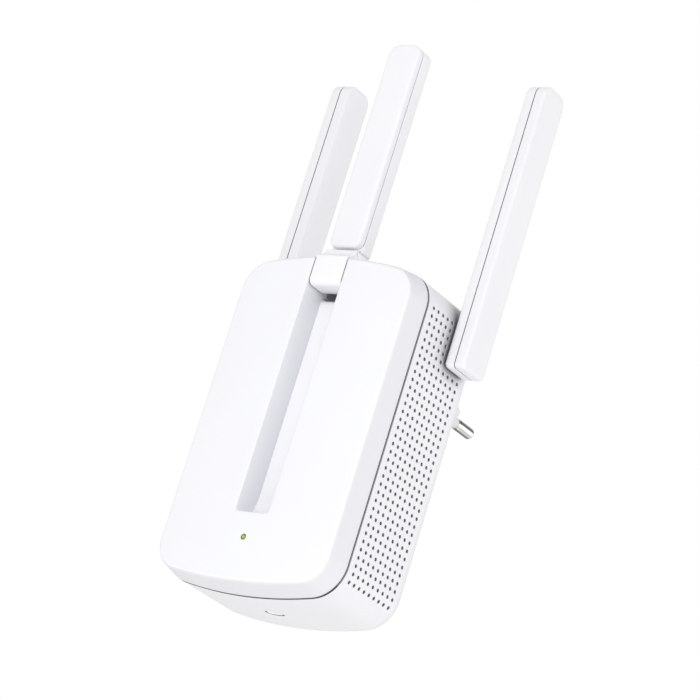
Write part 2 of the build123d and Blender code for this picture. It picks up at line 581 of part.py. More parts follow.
# ---- All pieces -------------------------------------------------------------------------------
pieces = {
    "front_cover": make_front_cover(),
    "rear_housing": make_rear_housing(),
    "plug_block": make_plug_block(),
    "power_board": board(POWER_WIDTH, POWER_BACK_Y, (-POWER_FOOT, POWER_TOP_Z), power_screws()),
    "power_board_screws": make_screws(power_screws(), POWER_FRONT_Y),
    "bulk_capacitors": Compound(children=[make_can(CAN_RADIUS, CAN_LENGTH, side * CAN_PLACE[0]) for side in SIDES]),
    "output_capacitor": make_can(OUTPUT_CAN_RADIUS, OUTPUT_CAN_LENGTH, 0),
    "rectifier": on_front(RECTIFIER, POWER_FRONT_Y, *RECTIFIER_PLACE),
    "mains_fuse": on_front(FUSE, POWER_FRONT_Y, *FUSE_PLACE),
    "board_connector": make_connector(),
    "main_board": make_main_board(),
    "main_board_screws": make_screws(main_screws(), MAIN_FRONT_Y),
    "wifi_shield": make_shield(),
    "wifi_processor": on_front(PROCESSOR, MAIN_FRONT_Y, 0, MIDDLE_Z - SHIELD_DROP),
    "memory_chip": on_front(MEMORY, MAIN_FRONT_Y, 0, MIDDLE_Z + MEMORY_RISE),
    "status_led": on_front(LED, MAIN_FRONT_Y, 0, LAMP_Z),
    "light_pipe": make_light_pipe(),
    "button_switch": make_switch(),
}
pieces["transformer_core"], pieces["transformer_coil"] = make_transformer()
pieces["button_cap"], pieces["switch_plunger"] = make_button()
for side, name in SIDES.items():
    pieces[f"plug_pin_{name}"] = make_pin(side)
    pieces[f"pin_sleeve_{name}"] = make_sleeve(side)
for name, piece in make_centre_antenna().items():
    pieces[f"centre_antenna_{name}"] = piece
for name, piece in make_side_antenna().items():
    pieces[f"right_antenna_{name}"] = piece
    pieces[f"left_antenna_{name}"] = mirror(piece, about=Plane.YZ)

os.makedirs("parts", exist_ok=True)
for name, piece in pieces.items():
    export_step(piece, f"parts/{name}.step")
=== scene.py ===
# %% [markdown]
# # A plug-in wifi range extender, dressed over its solids
# The real thing is a small white plastic box that hangs on a wall socket by its own plug: a bowed front
# cover, a deep rear housing with a field of small vent holes in each side, and three blade antennas that
# fold. The solids of all its pieces are loaded first and stay where they are. A surface worked out here
# takes the place of each solid whose soft edges and small holes the eye would miss.

# %% Load the solids
import bpy
import numpy as np
from mathutils import Matrix, Vector


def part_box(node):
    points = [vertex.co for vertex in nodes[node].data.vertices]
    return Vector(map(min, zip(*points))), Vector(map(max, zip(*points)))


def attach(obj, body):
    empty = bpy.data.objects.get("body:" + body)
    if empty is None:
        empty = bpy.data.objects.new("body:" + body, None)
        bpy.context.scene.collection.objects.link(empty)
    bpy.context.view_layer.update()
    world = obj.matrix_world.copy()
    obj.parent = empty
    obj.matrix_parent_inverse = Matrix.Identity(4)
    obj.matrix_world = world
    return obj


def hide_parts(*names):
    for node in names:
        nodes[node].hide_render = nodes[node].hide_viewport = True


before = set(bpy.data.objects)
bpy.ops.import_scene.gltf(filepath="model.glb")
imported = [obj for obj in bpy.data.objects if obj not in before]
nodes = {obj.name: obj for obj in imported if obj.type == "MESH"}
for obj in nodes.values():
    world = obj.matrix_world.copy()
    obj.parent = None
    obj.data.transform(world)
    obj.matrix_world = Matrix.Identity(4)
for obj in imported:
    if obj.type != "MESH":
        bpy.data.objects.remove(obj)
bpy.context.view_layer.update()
MM = 0.001

# %% [markdown]
# ## Where things are
# Every size below is in millimetres, in the frame of the solids: X to the right of someone who faces the
# cover, Y out of the back into the wall, Z up. The levels are read from the boxes of the solids, so the
# surfaces land exactly on them.

# %% Read the levels


def limits(node):
    """Lowest and highest corner of a solid, as two arrays in millimetres."""
    low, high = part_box(node)
    return np.array(low) / MM, np.array(high) / MM


house_low, house_high = limits("rear_housing")
cover_low, _ = limits("front_cover")
MIDDLE_Z = (house_low[2] + house_high[2]) / 2
HALF_WIDTH = (house_high[0] - house_low[0]) / 2
HALF_HEIGHT = (house_high[2] - house_low[2]) / 2
BACK_Y = house_high[1]
RIM_Y = house_low[1]
FACE_Y = cover_low[1]
SEAM_GAP = 0.55
EDGE_Y = RIM_Y - SEAM_GAP
print("body", 2 * HALF_WIDTH, "x", 2 * HALF_HEIGHT, "from", FACE_Y, "to", BACK_Y)

# %% [markdown]
# ## A skin made of numbers
# A moulded shell is a thin wall. Each one starts as grids of points worked out as whole arrays. The housing
# then gets a second copy of its grid, set back by the wall's thickness, and a rim that joins the two along
# every open edge. Holes cost nothing extra: where quads are left out, the rim lines the hole.

# %% Quads between points


def cells(index):
    """Quads of a grid of point numbers: (a, b), (a+1, b), (a+1, b+1), (a, b+1) for each cell."""
    corners = (index[:-1, :-1], index[1:, :-1], index[1:, 1:], index[:-1, 1:])
    return np.stack(corners, axis=2)


def bands(rings):
    """Quads between each closed ring of point numbers and the next; rings is (count, holes, points)."""
    after = np.roll(rings, -1, axis=2)
    corners = (rings[:-1], after[:-1], after[1:], rings[1:])
    return np.stack(corners, axis=3).reshape(-1, 4)


def rim(quads, shift):
    """Quads that join each edge that only one quad uses to the same edge in the copy, shift points on."""
    edges = np.concatenate([quads[:, [k, (k + 1) % 4]] for k in range(4)])
    edges = edges[edges[:, 0] != edges[:, 1]]
    _, first, counts = np.unique(np.sort(edges, axis=1), axis=0, return_index=True, return_counts=True)
    a, b = edges[first[counts == 1]].T
    return np.stack([b, a, a + shift, b + shift], axis=1)


print("quads of a 3 by 3 grid:", cells(np.arange(9).reshape(3, 3)).reshape(-1, 4).tolist())

# %% [markdown]
# The patches of a surface are worked out one by one, so points on a shared edge come twice and are merged.
# The cells in which they are looked up are shifted a little, so that no round size lies on a border.
# One shell may show several finishes, so a helper gives faces one more material by where they are.

# %% Turn arrays into a piece
MERGE_CELL, MERGE_SHIFT = 0.004, 0.371


def merged(points, quads):
    """Points in the same cell of MERGE_CELL millimetres become one point."""
    cell = np.floor(points / MERGE_CELL + MERGE_SHIFT)
    _, first, back = np.unique(cell, axis=0, return_index=True, return_inverse=True)
    return points[first], back.reshape(-1)[quads]


def piece(name, points, quads, material, sharp=32):
    """A mesh object from points in millimetres; edges that turn more than sharp degrees stay crisp."""
    points, quads = merged(points, quads)
    used, back = np.unique(quads, return_inverse=True)
    faces = [list(dict.fromkeys(quad)) for quad in back.reshape(quads.shape).tolist()]
    mesh = bpy.data.meshes.new(name)
    mesh.from_pydata((points[used] * MM).tolist(), [], [face for face in faces if len(face) > 2])
    mesh.validate()
    mesh.polygons.foreach_set("use_smooth", np.ones(len(mesh.polygons), bool))
    mesh.set_sharp_from_angle(angle=np.radians(sharp))
    mesh.materials.append(material)
    made = bpy.data.objects.new(name, mesh)
    bpy.context.scene.collection.objects.link(made)
    print(f"{name}: {len(mesh.vertices)} points, {len(mesh.polygons)} faces")
    return made


def lined(made, chosen_by, material):
    """One more material for the faces that chosen_by picks from their centres, in mm, and their normals."""
    mesh = made.data
    centres, normals = np.empty((2, len(mesh.polygons), 3))
    index = np.empty(len(mesh.polygons), np.int32)
    mesh.polygons.foreach_get("center", centres.ravel())
    mesh.polygons.foreach_get("normal", normals.ravel())
    mesh.polygons.foreach_get("material_index", index)
    chosen = chosen_by(centres / MM, normals)
    index[chosen] = len(mesh.materials)
    mesh.materials.append(material)
    mesh.polygons.foreach_set("material_index", index)
    print(f"{made.name}: {chosen.sum()} faces in {material.name}")


# %% [markdown]
# ## Colours and nodes
# A material is a tree of nodes. It could be clicked together by hand, but written out it can be read and
# run again. Every tree here is built by one small function that adds a node, sets its values and links
# it. Colours are written as hex codes, as on a paint chart, and one function turns them linear.

# %% Nodes from values
MIX_COLOURS = {"data_type": "RGBA"}


def linear(code):
    """The linear colour of an sRGB hex code: ((v + 0.055) / 1.055) ** 2.4, or v / 12.92 near black."""
    value = np.array([int(code[k : k + 2], 16) for k in (1, 3, 5)]) / 255
    value = np.where(value <= 0.04045, value / 12.92, ((value + 0.055) / 1.055) ** 2.4)
    return (*value, 1.0)


def add(tree, kind, settings=None, **inputs):
    """Adds a node; inputs are values, or (node, output) pairs to link from. _0 is the first socket."""
    node = tree.nodes.new("ShaderNode" + kind)
    for key, value in (settings or {}).items():
        setattr(node, key, value)
    for key, value in inputs.items():
        socket = node.inputs[int(key[1:])] if key[0] == "_" else node.inputs[key.replace("_", " ")]
        if isinstance(value, tuple) and isinstance(value[0], bpy.types.Node):
            tree.links.new(value[0].outputs[value[1]], socket)
        else:
            socket.default_value = value
    return node


def material(name, **shader):
    """A material with only a shader, its tree, its shader and its object coordinates."""
    made = bpy.data.materials.new(name)
    made.use_nodes = True
    tree = made.node_tree
    tree.nodes.clear()
    principled = add(tree, "BsdfPrincipled", **shader)
    add(tree, "OutputMaterial", Surface=(principled, 0))
    return made, tree, principled, add(tree, "TexCoord")


def feed(tree, principled, **links):
    """Links (node, output) pairs to the shader's sockets."""
    for key, (node, output) in links.items():
        tree.links.new(node.outputs[output], principled.inputs[key.replace("_", " ")])


def reopened(made):
    """Tree, shader and object coordinates of a material that gets one more layer."""
    tree = made.node_tree
    return tree, tree.nodes["Principled BSDF"], tree.nodes["Texture Coordinate"]


print("white turned linear:", [round(float(v), 3) for v in linear("#F5F6F9")])

# %% [markdown]
# ## Moulded plastic
# The body is moulded ABS. A mould for such a box is spark-eroded, which leaves a fine even grain that
# breaks up the shine, and thick and thin places cool unevenly, which shows as a very faint cloudiness.
# Narrow crevices and places close under another piece are greyed: this is painted shade, worked out by
# ambient occlusion.

# %% Moulded plastic
CREVICE = 1.1
CLOUDS_PER_METRE = 28.0


def moulded(name, light, dark, rough, grain_mm, depth_mm, contact_shade_mm=0, **shader):
    """Two near shades in clouds, a grain of grain_mm and depth_mm, uneven shine, and painted shade: grey in
    crevices narrower than CREVICE and, less so, in nooks narrower than the given nook distance in mm."""
    made, tree, principled, place = material(name, IOR=1.54, **shader)
    cloud = add(tree, "TexNoise", Vector=(place, "Object"), Scale=CLOUDS_PER_METRE, Detail=3.0)
    tone = add(tree, "Mix", MIX_COLOURS, _0=(cloud, 0), _6=linear(light), _7=linear(dark))
    grain = add(tree, "TexNoise", Vector=(place, "Object"), Scale=1 / (grain_mm * MM), Detail=2.0)
    shine = add(tree, "MapRange", Value=(cloud, 0), To_Min=rough - 0.04, To_Max=rough + 0.04)
    bump = add(tree, "Bump", Height=(grain, 0), Strength=0.5, Distance=depth_mm * MM)
    # Painted shade: ambient occlusion greys the colour in narrow crevices.
    open_air = add(tree, "AmbientOcclusion", {"samples": 6}, Distance=CREVICE * MM)
    without_painted_shade = add(tree, "MapRange", Value=(open_air, "AO"), From_Min=0.04, From_Max=0.46)
    tone = add(tree, "Mix", MIX_COLOURS, _0=(without_painted_shade, 0), _6=linear("#5C5C62"), _7=(tone, 2))
    # Painted contact shade: a second, wider ambient occlusion greys nooks close under another piece.
    if contact_shade_mm:
        open_air = add(tree, "AmbientOcclusion", {"samples": 6}, Distance=contact_shade_mm * MM)
        out_of_contact_shade = add(tree, "MapRange", Value=(open_air, "AO"), From_Min=0.3, From_Max=0.85)
        tone = add(tree, "Mix", MIX_COLOURS, _0=(out_of_contact_shade, 0), _6=linear("#77777D"), _7=(tone, 2))
    feed(tree, principled, Base_Color=(tone, 2), Roughness=(shine, 0), Normal=(bump, 0))
    return made


print("crevices greyed up to", CREVICE, "mm, one cloud about", round(1000 / CLOUDS_PER_METRE), "mm")

# %% [markdown]
# The shells, the blades and the button are the same white ABS from different moulds, so their whites and
# their shine differ a little; some whites and all greys below are painted light or painted shade. The plug is
# polycarbonate, the sleeves of its pins polyamide.

# %% White plastics, and greys of painted shade
# White ABS from a spark-eroded mould: a satin white whose grain only softens the highlights.
cover_white = moulded("abs_white_satin_cover", "#F5F6F9", "#F1F1F5", 0.42, 0.35, 0.012)
# The leaning flanks get a darker white as painted shade, so the band beside the face reads darker.
painted_shade_flank = moulded("abs_white_matt_flank_painted_shade", "#E9E9ED", "#E4E4E9", 0.55, 0.35, 0.016)
# The last number of the housing and the side antennas is the reach in mm of their painted contact shade,
# beside and under the side antennas' feet.
housing_white = moulded("abs_white_satin_housing", "#F1F1F4", "#ECECF0", 0.48, 0.35, 0.016, 8.0)
antenna_white = moulded("abs_white_satin_antenna", "#F3F3F6", "#EEEEF2", 0.42, 0.35, 0.012, 3.5)
# The middle antenna stands free of the body, so it gets no painted contact shade at its foot.
middle_white = moulded("abs_white_satin_middle_antenna", "#F6F6F9", "#F1F1F5", 0.42, 0.35, 0.012)
# The floor of the slot is polished, and its white is painted lighter as painted light, so it is the brightest
# strip of the cover.
painted_light_strip = moulded("abs_white_polished_strip_painted_light", "#FCFCFE", "#F9F9FC", 0.3, 0.5, 0.004)
# The knuckle comes from a polished mould too, and is the one glossy white piece.
knuckle_white = moulded("abs_white_polished_knuckle", "#F8F8FA", "#F5F5F8", 0.2, 0.5, 0.003, Coat_Weight=0.3)
plug_white = moulded("polycarbonate_white_plug", "#EFEFF1", "#EAEAED", 0.5, 0.4, 0.015)
sleeve_white = moulded("polyamide_white_pin_sleeve", "#EDEDEE", "#E6E6E8", 0.45, 0.3, 0.008)
# The button's white is painted lighter than the shells', as painted light.
painted_light_button = moulded("abs_white_polished_button_painted_light", "#FAFAFC", "#F6F6F9", 0.3, 0.4, 0.006)
# Inside, the same plastic stays unpolished; its greys are painted shade, because hardly any light comes back
# out of the box.
painted_shade_well = moulded("abs_hinge_well_painted_shade", "#A2A2A6", "#98989C", 0.6, 0.5, 0.02)
painted_shade_hole = moulded("abs_hole_wall_painted_shade", "#8C8C92", "#828288", 0.7, 0.5, 0.02)
painted_shade_inner = moulded("abs_inner_surface_painted_shade", "#47474B", "#3F3F43", 0.7, 0.5, 0.02)
print("plastics:", len(bpy.data.materials))

# %% [markdown]
# The walls of the slot are the same white, with painted shade that makes them a little greyer the deeper they
# go.
# The depth is the Y of the object coordinates, since every piece has its place in its mesh.

# %% Walls of the slot
slot_white = moulded("abs_white_slot_wall_painted_shade", "#F3F4F7", "#EFEFF3", 0.5, 0.35, 0.012)
tree, principled, place = reopened(slot_white)
depth = add(tree, "SeparateXYZ", Vector=(place, "Object"))
from_y, to_y = (FACE_Y + 1.5) * MM, (FACE_Y + 9.5) * MM
# Painted shade: the walls grow greyer with depth into the slot.
painted_depth_shade = add(tree, "MapRange", Value=(depth, "Y"), From_Min=from_y, From_Max=to_y)
painted_depth_shade = add(tree, "Mix", MIX_COLOURS, _0=(painted_depth_shade, 0), _6=linear("#FFFFFF"), _7=linear("#ECECEF"))
without_painted_shade = principled.inputs["Base Color"].links[0].from_node
product = MIX_COLOURS | {"blend_type": "MULTIPLY"}
tone = add(tree, "Mix", product, _0=1.0, _6=(without_painted_shade, 2), _7=(painted_depth_shade, 2))
feed(tree, principled, Base_Color=(tone, 2))
print("slot wall greys from", round(from_y, 4), "to", round(to_y, 4))

# %% [markdown]
# ## Camera
# The camera stands low on the right and is rolled, so the device leans. A long lens keeps its edges nearly
# parallel. Its place and direction are written out, and its turn is built from the direction and the roll.

# %% Camera
CAMERA_PLACE = (0.59690, -0.77835, -0.28854)
CAMERA_AHEAD = Vector((-0.60259, 0.74189, 0.29410))
CAMERA_ROLL = np.radians(17.27)
across = CAMERA_AHEAD.cross(Vector((0, 0, 1))).normalized()
upward = across.cross(CAMERA_AHEAD)
right = across * np.cos(CAMERA_ROLL) + upward * np.sin(CAMERA_ROLL)
up = upward * np.cos(CAMERA_ROLL) - across * np.sin(CAMERA_ROLL)
turn = Matrix((right, up, -CAMERA_AHEAD)).transposed().to_4x4()
camera = bpy.data.objects.new("camera", bpy.data.cameras.new("camera"))
camera.matrix_world = Matrix.Translation(CAMERA_PLACE) @ turn
camera.data.lens = 158.94
camera.data.sensor_width = 36.0
camera.data.clip_start = 0.01
camera.data.clip_end = 20.0
bpy.context.scene.collection.objects.link(camera)
bpy.context.scene.camera = camera
print("camera looks along", [round(v, 3) for v in CAMERA_AHEAD])

# %% [markdown]
# ## World
# The room is a white studio tent, which gives most of the light. What the eye meets directly, through
# glass or in a reflection is pure white, and what lights the object is a little dimmer, so white plastic
# doesn't burn out.

# %% World
bpy.context.scene.view_settings.view_transform = "Standard"
world = bpy.data.worlds.new("white_tent")
world.use_nodes = True
tent = world.node_tree
tent.nodes.clear()


def seen_rays(tree):
    """1 for a ray from the camera, through glass or off a glossy surface, 0 for one that gives light."""
    rays = add(tree, "LightPath")
    larger = {"operation": "MAXIMUM"}
    seen = add(tree, "Math", larger, _0=(rays, "Is Camera Ray"), _1=(rays, "Is Transmission Ray"))
    return add(tree, "Math", larger, _0=(seen, 0), _1=(rays, "Is Glossy Ray"))


seen = seen_rays(tent)
lit = add(tent, "Background", Color=(1, 1, 1, 1), Strength=0.74)
white = add(tent, "Background", Color=(1, 1, 1, 1), Strength=1.0)
mix = add(tent, "MixShader", _0=(seen, 0), _1=(lit, 0), _2=(white, 0))
add(tent, "OutputWorld", Surface=(mix, 0))
bpy.context.scene.world = world
print("world:", world.name, "with", len(tent.nodes), "nodes")

# %% [markdown]
# ## Lamps
# Four soft boxes give the tent's light a direction. The one beside the camera makes the face the
# brightest side, with the vented side a shade darker, the one behind draws a rim, and the two low ones
# open the shade under the body. Large squares close to the object give shadows without an edge.

# %% Lamps


def soft_box(name, place, aim, size, power):
    """A square area lamp at place, in metres, that faces aim; the camera doesn't see it."""
    lamp = bpy.data.objects.new(name, bpy.data.lights.new(name, "AREA"))
    lamp.data.size = size
    lamp.data.energy = power
    lamp.visible_camera = False
    toward = Vector(aim) - Vector(place)
    lamp.matrix_world = Matrix.Translation(place) @ toward.to_track_quat("-Z", "Y").to_matrix().to_4x4()
    bpy.context.scene.collection.objects.link(lamp)


soft_box("camera_side_box", (0.85, -1.05, 0.1), (0, 0, 0), 1.0, 3.1)
soft_box("rim_box", (0.95, 0.95, 0.1), (0, 0, 0), 1.0, 2.6)
soft_box("low_front_box", (0.35, -1.25, -0.35), (0, 0, 0), 0.5, 2.7)
soft_box("under_box", (0.25, -0.45, -0.95), (0, 0, 0), 0.8, 2.1)

# %% [markdown]
# ## Floor
# The floor is a wide sheet of matt white card. To the eye most of it glows as white as the tent, so the
# horizon hardly cuts the background, and the rest is card that still shows a shadow.

# %% Floor
FLOOR_GLOW = 0.7
FLOOR_Z, FLOOR_REACH = -1250.0, 9000.0
made, tree, principled, place = material("floor_matt_white", Roughness=0.9)
dust = add(tree, "TexNoise", Vector=(place, "Object"), Scale=2.0, Detail=1.0)
tone = add(tree, "Mix", MIX_COLOURS, _0=(dust, 0), _6=linear("#FAFAFA"), _7=linear("#F7F7F7"))
feed(tree, principled, Base_Color=(tone, 2))
part = add(tree, "Math", {"operation": "MULTIPLY"}, _0=(seen_rays(tree), 0), _1=FLOOR_GLOW)
glow = add(tree, "Emission", Color=(1, 1, 1, 1), Strength=1.0)
mix = add(tree, "MixShader", _0=(part, 0), _1=(principled, 0), _2=(glow, 0))
tree.links.new(mix.outputs[0], tree.nodes["Material Output"].inputs["Surface"])
corners = np.array([[-1, -1], [1, -1], [1, 1], [-1, 1]]) * FLOOR_REACH
floor = piece("floor", np.column_stack([corners, np.full(4, FLOOR_Z)]), np.array([[0, 1, 2, 3]]), made)

# %% [markdown]
# ## The body's outline
# Seen from the front the body is a rectangle with round corners whose top and bottom bow outwards. Both
# shells follow this one outline, drawn in by a varying amount: a point of the outline minus the inset
# times the outline's normal. Corner arcs keep their centre, so an inset never changes the shape's family.

# %% Outline
ARCH_RADIUS = 150.0
CORNER_RADIUS = 11.5
CORNER_X = HALF_WIDTH - CORNER_RADIUS
ARCH_Z = HALF_HEIGHT - ARCH_RADIUS
CORNER_Z = ARCH_Z + np.sqrt((ARCH_RADIUS - CORNER_RADIUS) ** 2 - CORNER_X**2)
TURN = np.arctan2(CORNER_Z - ARCH_Z, CORNER_X)
ARCH_END = ARCH_RADIUS * np.cos(TURN)


def side_at(z):
    """Right side: straight, then round the corner. Columns x, z, normal x, normal z."""
    angle = np.arcsin(np.clip((np.abs(z) - CORNER_Z) / CORNER_RADIUS, 0, 1))
    c, s = np.cos(angle), np.sign(z) * np.sin(angle)
    return np.column_stack([CORNER_X + CORNER_RADIUS * c, z, c, s])


def corner_at(angle):
    """Top right corner at an angle from the X axis."""
    c, s = np.cos(angle), np.sin(angle)
    return np.column_stack([CORNER_X + CORNER_RADIUS * c, CORNER_Z + CORNER_RADIUS * s, c, s])


def arch_at(x):
    """Top arch: x squared plus the height above its centre squared is the radius squared."""
    z = np.sqrt(ARCH_RADIUS**2 - x**2)
    return np.column_stack([x, ARCH_Z + z, x / ARCH_RADIUS, z / ARCH_RADIUS])


def flipped(points, x=1, z=1):
    """Mirror image, in reverse order when one side is flipped so that the loop keeps its sense."""
    points = points * np.array([x, z, x, z])
    return points[::-1] if x * z < 0 else points


print("corner ends at", round(float(np.degrees(TURN)), 1), "degrees")

# %% [markdown]
# ## Rear housing
# The housing is a deep tray with a round back edge. Its sides have 9 by 35 holes of 1.2 mm, left open by
# pins in the mould, each with a tiny soft lip. The grid of the skin is laid out so that each hole owns
# 3 by 3 cells: they are left out, and a ring of 12 points closes the gap down to the circle. Where the
# side antennas sit, the holes are missing and one large round hole takes the pivot.

# %% Lines of the grid
VENT_COLUMNS, VENT_ROWS = 9, 35
COLUMN_PITCH, ROW_PITCH = 2.83, 2.70
VENT_RADIUS = 0.6
FIRST_COLUMN = RIM_Y - SEAM_GAP / 2 + 3.64
FIRST_ROW = 9.6 - HALF_HEIGHT
FOOT_ROWS, FOOT_COLUMNS = 6, 4
BACK_ROUND = 5.5
SHELL_WALL, RIM_WALL = 2.0, 0.9
vent_z = FIRST_ROW - ROW_PITCH / 2 + np.arange(3 * VENT_ROWS + 1) * ROW_PITCH / 3
vent_y = FIRST_COLUMN - COLUMN_PITCH / 2 + np.arange(3 * VENT_COLUMNS + 1) * COLUMN_PITCH / 3
low_turn = np.arcsin((-vent_z[0] - CORNER_Z) / CORNER_RADIUS)
high_turn = np.arcsin((vent_z[-1] - CORNER_Z) / CORNER_RADIUS)
NOTCH_X = 8.3
BUTTON_SPAN = 5.0
top_x = np.concatenate([
    np.linspace(ARCH_END, NOTCH_X, 10), np.linspace(NOTCH_X, -NOTCH_X, 9)[1:-1],
    np.linspace(-NOTCH_X, -ARCH_END, 10),
])
low_x = np.concatenate([
    np.linspace(-ARCH_END, -BUTTON_SPAN, 12), np.linspace(-BUTTON_SPAN, BUTTON_SPAN, 11)[1:-1],
    np.linspace(BUTTON_SPAN, ARCH_END, 12),
])
right_side = side_at(vent_z)
top_corner = corner_at(np.linspace(high_turn, TURN, 9)[1:-1])
low_corner = corner_at(np.linspace(low_turn, TURN, 9)[1:-1])
loop = np.concatenate([
    right_side, top_corner, arch_at(top_x), flipped(top_corner, x=-1), flipped(right_side, x=-1),
    flipped(low_corner, x=-1, z=-1), flipped(arch_at(low_x), z=-1)[::-1], flipped(low_corner, z=-1),
])
left_start = len(right_side) + 2 * len(top_corner) + len(top_x)
low_start = left_start + len(right_side) + len(low_corner)
swing = np.linspace(0, np.pi / 2, 12)
RIM_BREAK = 0.25
ring_y = np.concatenate([
    [RIM_Y, RIM_Y + RIM_BREAK, vent_y[0] - 0.9], vent_y, BACK_Y - BACK_ROUND + BACK_ROUND * np.sin(swing),
])
ring_inset = np.concatenate([[RIM_BREAK], np.zeros(2 + len(vent_y)), BACK_ROUND * (1 - np.cos(swing))])
first_vent = 3
print("loop of", len(loop), "points,", len(ring_y), "rings to the back")

# %% [markdown]
# The points of the skin come first as one array of rows (around) by columns (from the rim to the back),
# with the direction in which the wall has its thickness. The back face is a morph from the drawn-in
# outline to the outline of the plug: both are seen from the plug's axis, so the rings never cross.

# %% Housing points
PLUG_HALF, PLUG_RISE, PLUG_FLAT = 17.65, 6.85, 13.05


def plug_reach(angle, grow):
    """Distance from the plug's axis to its six-sided outline: a soft minimum over the six flats."""
    half, rise = PLUG_HALF + grow, PLUG_RISE + grow
    tilt = np.arctan2(half - PLUG_FLAT, rise)
    flats = np.array([[np.pi / 2, rise], [tilt, half * np.cos(tilt)], [-tilt, half * np.cos(tilt)]])
    flats = np.concatenate([flats, flats + [np.pi, 0]])
    pull = np.clip(np.cos(angle[:, None] - flats[:, 0]), 0, None) / flats[:, 1]
    return (pull**40).sum(axis=1) ** (-1 / 40)


place, lean = loop[:, :2], loop[:, 2:]
tilt = np.concatenate([np.zeros(len(ring_y) - len(swing)), swing])
thick = np.where(ring_y < vent_y[0] + 0.1, RIM_WALL, SHELL_WALL)
flat_xz = place[:, None] - ring_inset[:, None] * lean[:, None]
flat_y = np.broadcast_to(ring_y, flat_xz.shape[:2])
back_xz = lean[:, None] * (thick * np.cos(tilt))[:, None]
back_y = np.broadcast_to(thick * np.sin(tilt), flat_y.shape)
edge_xz = flat_xz[:, -1]
axis_z = -MIDDLE_Z
angle = np.arctan2(edge_xz[:, 1] - axis_z, edge_xz[:, 0])
reach = plug_reach(angle, 0.12)
hole_xz = np.column_stack([reach * np.cos(angle), axis_z + reach * np.sin(angle)])
share = np.array([0.02, 0.2, 0.4, 0.6, 0.8, 0.94, 1.0])[:, None, None]
morph_xz = np.swapaxes((1 - share) * edge_xz + share * hole_xz, 0, 1)
grid_xz = np.concatenate([flat_xz, morph_xz], axis=1)
grid_y = np.concatenate([flat_y, np.full(morph_xz.shape[:2], BACK_Y)], axis=1)
set_xz = np.concatenate([back_xz, np.zeros_like(morph_xz)], axis=1)
set_y = np.concatenate([back_y, np.full(morph_xz.shape[:2], SHELL_WALL)], axis=1)
outer = np.stack([grid_xz[..., 0], grid_y, grid_xz[..., 1] + MIDDLE_Z], axis=2)
inward = -np.stack([set_xz[..., 0], set_y, set_xz[..., 1]], axis=2)
print("grid", outer.shape)

# %% [markdown]
# A hole is a set of rings. The first is the border of the block of cells that is left out, and the others
# are circles or a stadium worked out on the same surface: the second parameter is the height on a side, or
# X on the bottom, so rings near the corners follow the curve. The last ring may lie deeper, as a lip does.

# %% Places for holes


def border(m, n):
    """Steps around a block of m by n cells, from its lowest corner, as two arrays of 2 (m + n) numbers."""
    a = np.concatenate([np.arange(m), np.full(n, m), np.arange(m, 0, -1), np.zeros(n, int)])
    b = np.concatenate([np.zeros(m, int), np.arange(n), np.full(m, n), np.arange(n, 0, -1)])
    return a, b


def on_side(side, z, y, depth):
    """Points of a side wall at heights z, depth under its surface, and the way its wall thickens."""
    at = side_at(z.ravel())
    x, nx, nz = side * at[:, 0], side * at[:, 2], at[:, 3]
    points = np.column_stack([x - depth * nx, y.ravel(), z.ravel() - depth * nz + MIDDLE_Z])
    return points, -(SHELL_WALL - depth) * np.column_stack([nx, np.zeros_like(nx), nz])


def on_bottom(side, x, y, depth):
    """The same on the bottom arch at places x."""
    at = arch_at(x.ravel())
    points = np.column_stack([at[:, 0] - depth * at[:, 2], y.ravel(), MIDDLE_Z - at[:, 1] + depth * at[:, 3]])
    return points, -(SHELL_WALL - depth) * np.column_stack([at[:, 2], np.zeros(len(at)), -at[:, 3]])


print("points around a block of 3 by 3 cells:", len(border(3, 3)[0]))

# %% [markdown]
# A skin starts as its grid. Each set of holes marks its cells as left out and adds the points and quads of
# its rings, and at the end both walls and the rim are closed in one go.

# %% A skin that can be punched


class Skin:
    """The points, wall directions and quads gathered so far."""

    def __init__(self, outer, inward):
        self.points, self.inward = [outer.reshape(-1, 3)], [inward.reshape(-1, 3)]
        self.index = np.arange(outer.shape[0] * outer.shape[1]).reshape(outer.shape[:2])
        self.keep = np.ones((outer.shape[0], outer.shape[1] - 1), bool)
        self.count = self.index.size
        self.quads = []

    def punch(self, starts, m, n, surface, side, centres, rings):
        """Opens blocks of m by n cells and fits rings of (half length, radius, depth) around the centres."""
        a, b = border(m, n)
        rows, columns = starts[:, :1] + a, starts[:, 1:] + b
        inside = np.stack(np.meshgrid(np.arange(m), np.arange(n), indexing="ij")).reshape(2, -1)
        self.keep[starts[:, :1] + inside[0], starts[:, 1:] + inside[1]] = False
        count = len(a)
        first = np.arctan2(-n, -m)
        way = first + np.arange(count) * 2 * np.pi / count
        numbers = [self.index[rows % len(self.index), columns]]
        for length, radius, depth in rings:
            u = centres[:, :1] + side * (length * np.clip(1.6 * np.cos(way), -1, 1) + radius * np.cos(way))
            y = centres[:, 1:] + np.broadcast_to(radius * np.sin(way), u.shape)
            points, inward = surface(side, u, y, depth)
            self.points.append(points)
            self.inward.append(inward)
            numbers.append(self.count + np.arange(u.size).reshape(u.shape))
            self.count += u.size
        self.quads.append(bands(np.stack(numbers)))

    def shell(self, closed=True):
        """Outer wall, inner wall and rim as one array of points and one of quads."""
        index = np.concatenate([self.index, self.index[:1]]) if closed else self.index
        quads = [cells(index)[self.keep[: len(index) - 1]]] + self.quads
        quads = np.concatenate(quads)
        points = np.concatenate(self.points)
        return np.concatenate([points, points + np.concatenate(self.inward)]), np.concatenate(
            [quads, quads[:, ::-1] + len(points), rim(quads, len(points))]
        )


skin = Skin(outer, inward)
print("points before the holes:", skin.count)

# %% [markdown]
# The foot of the side antenna covers the top back corner of the field, so the holes that would lie under it
# are taken out of the list. The others are punched in one call for each side; on the left they are counted
# from the other end of its rows.

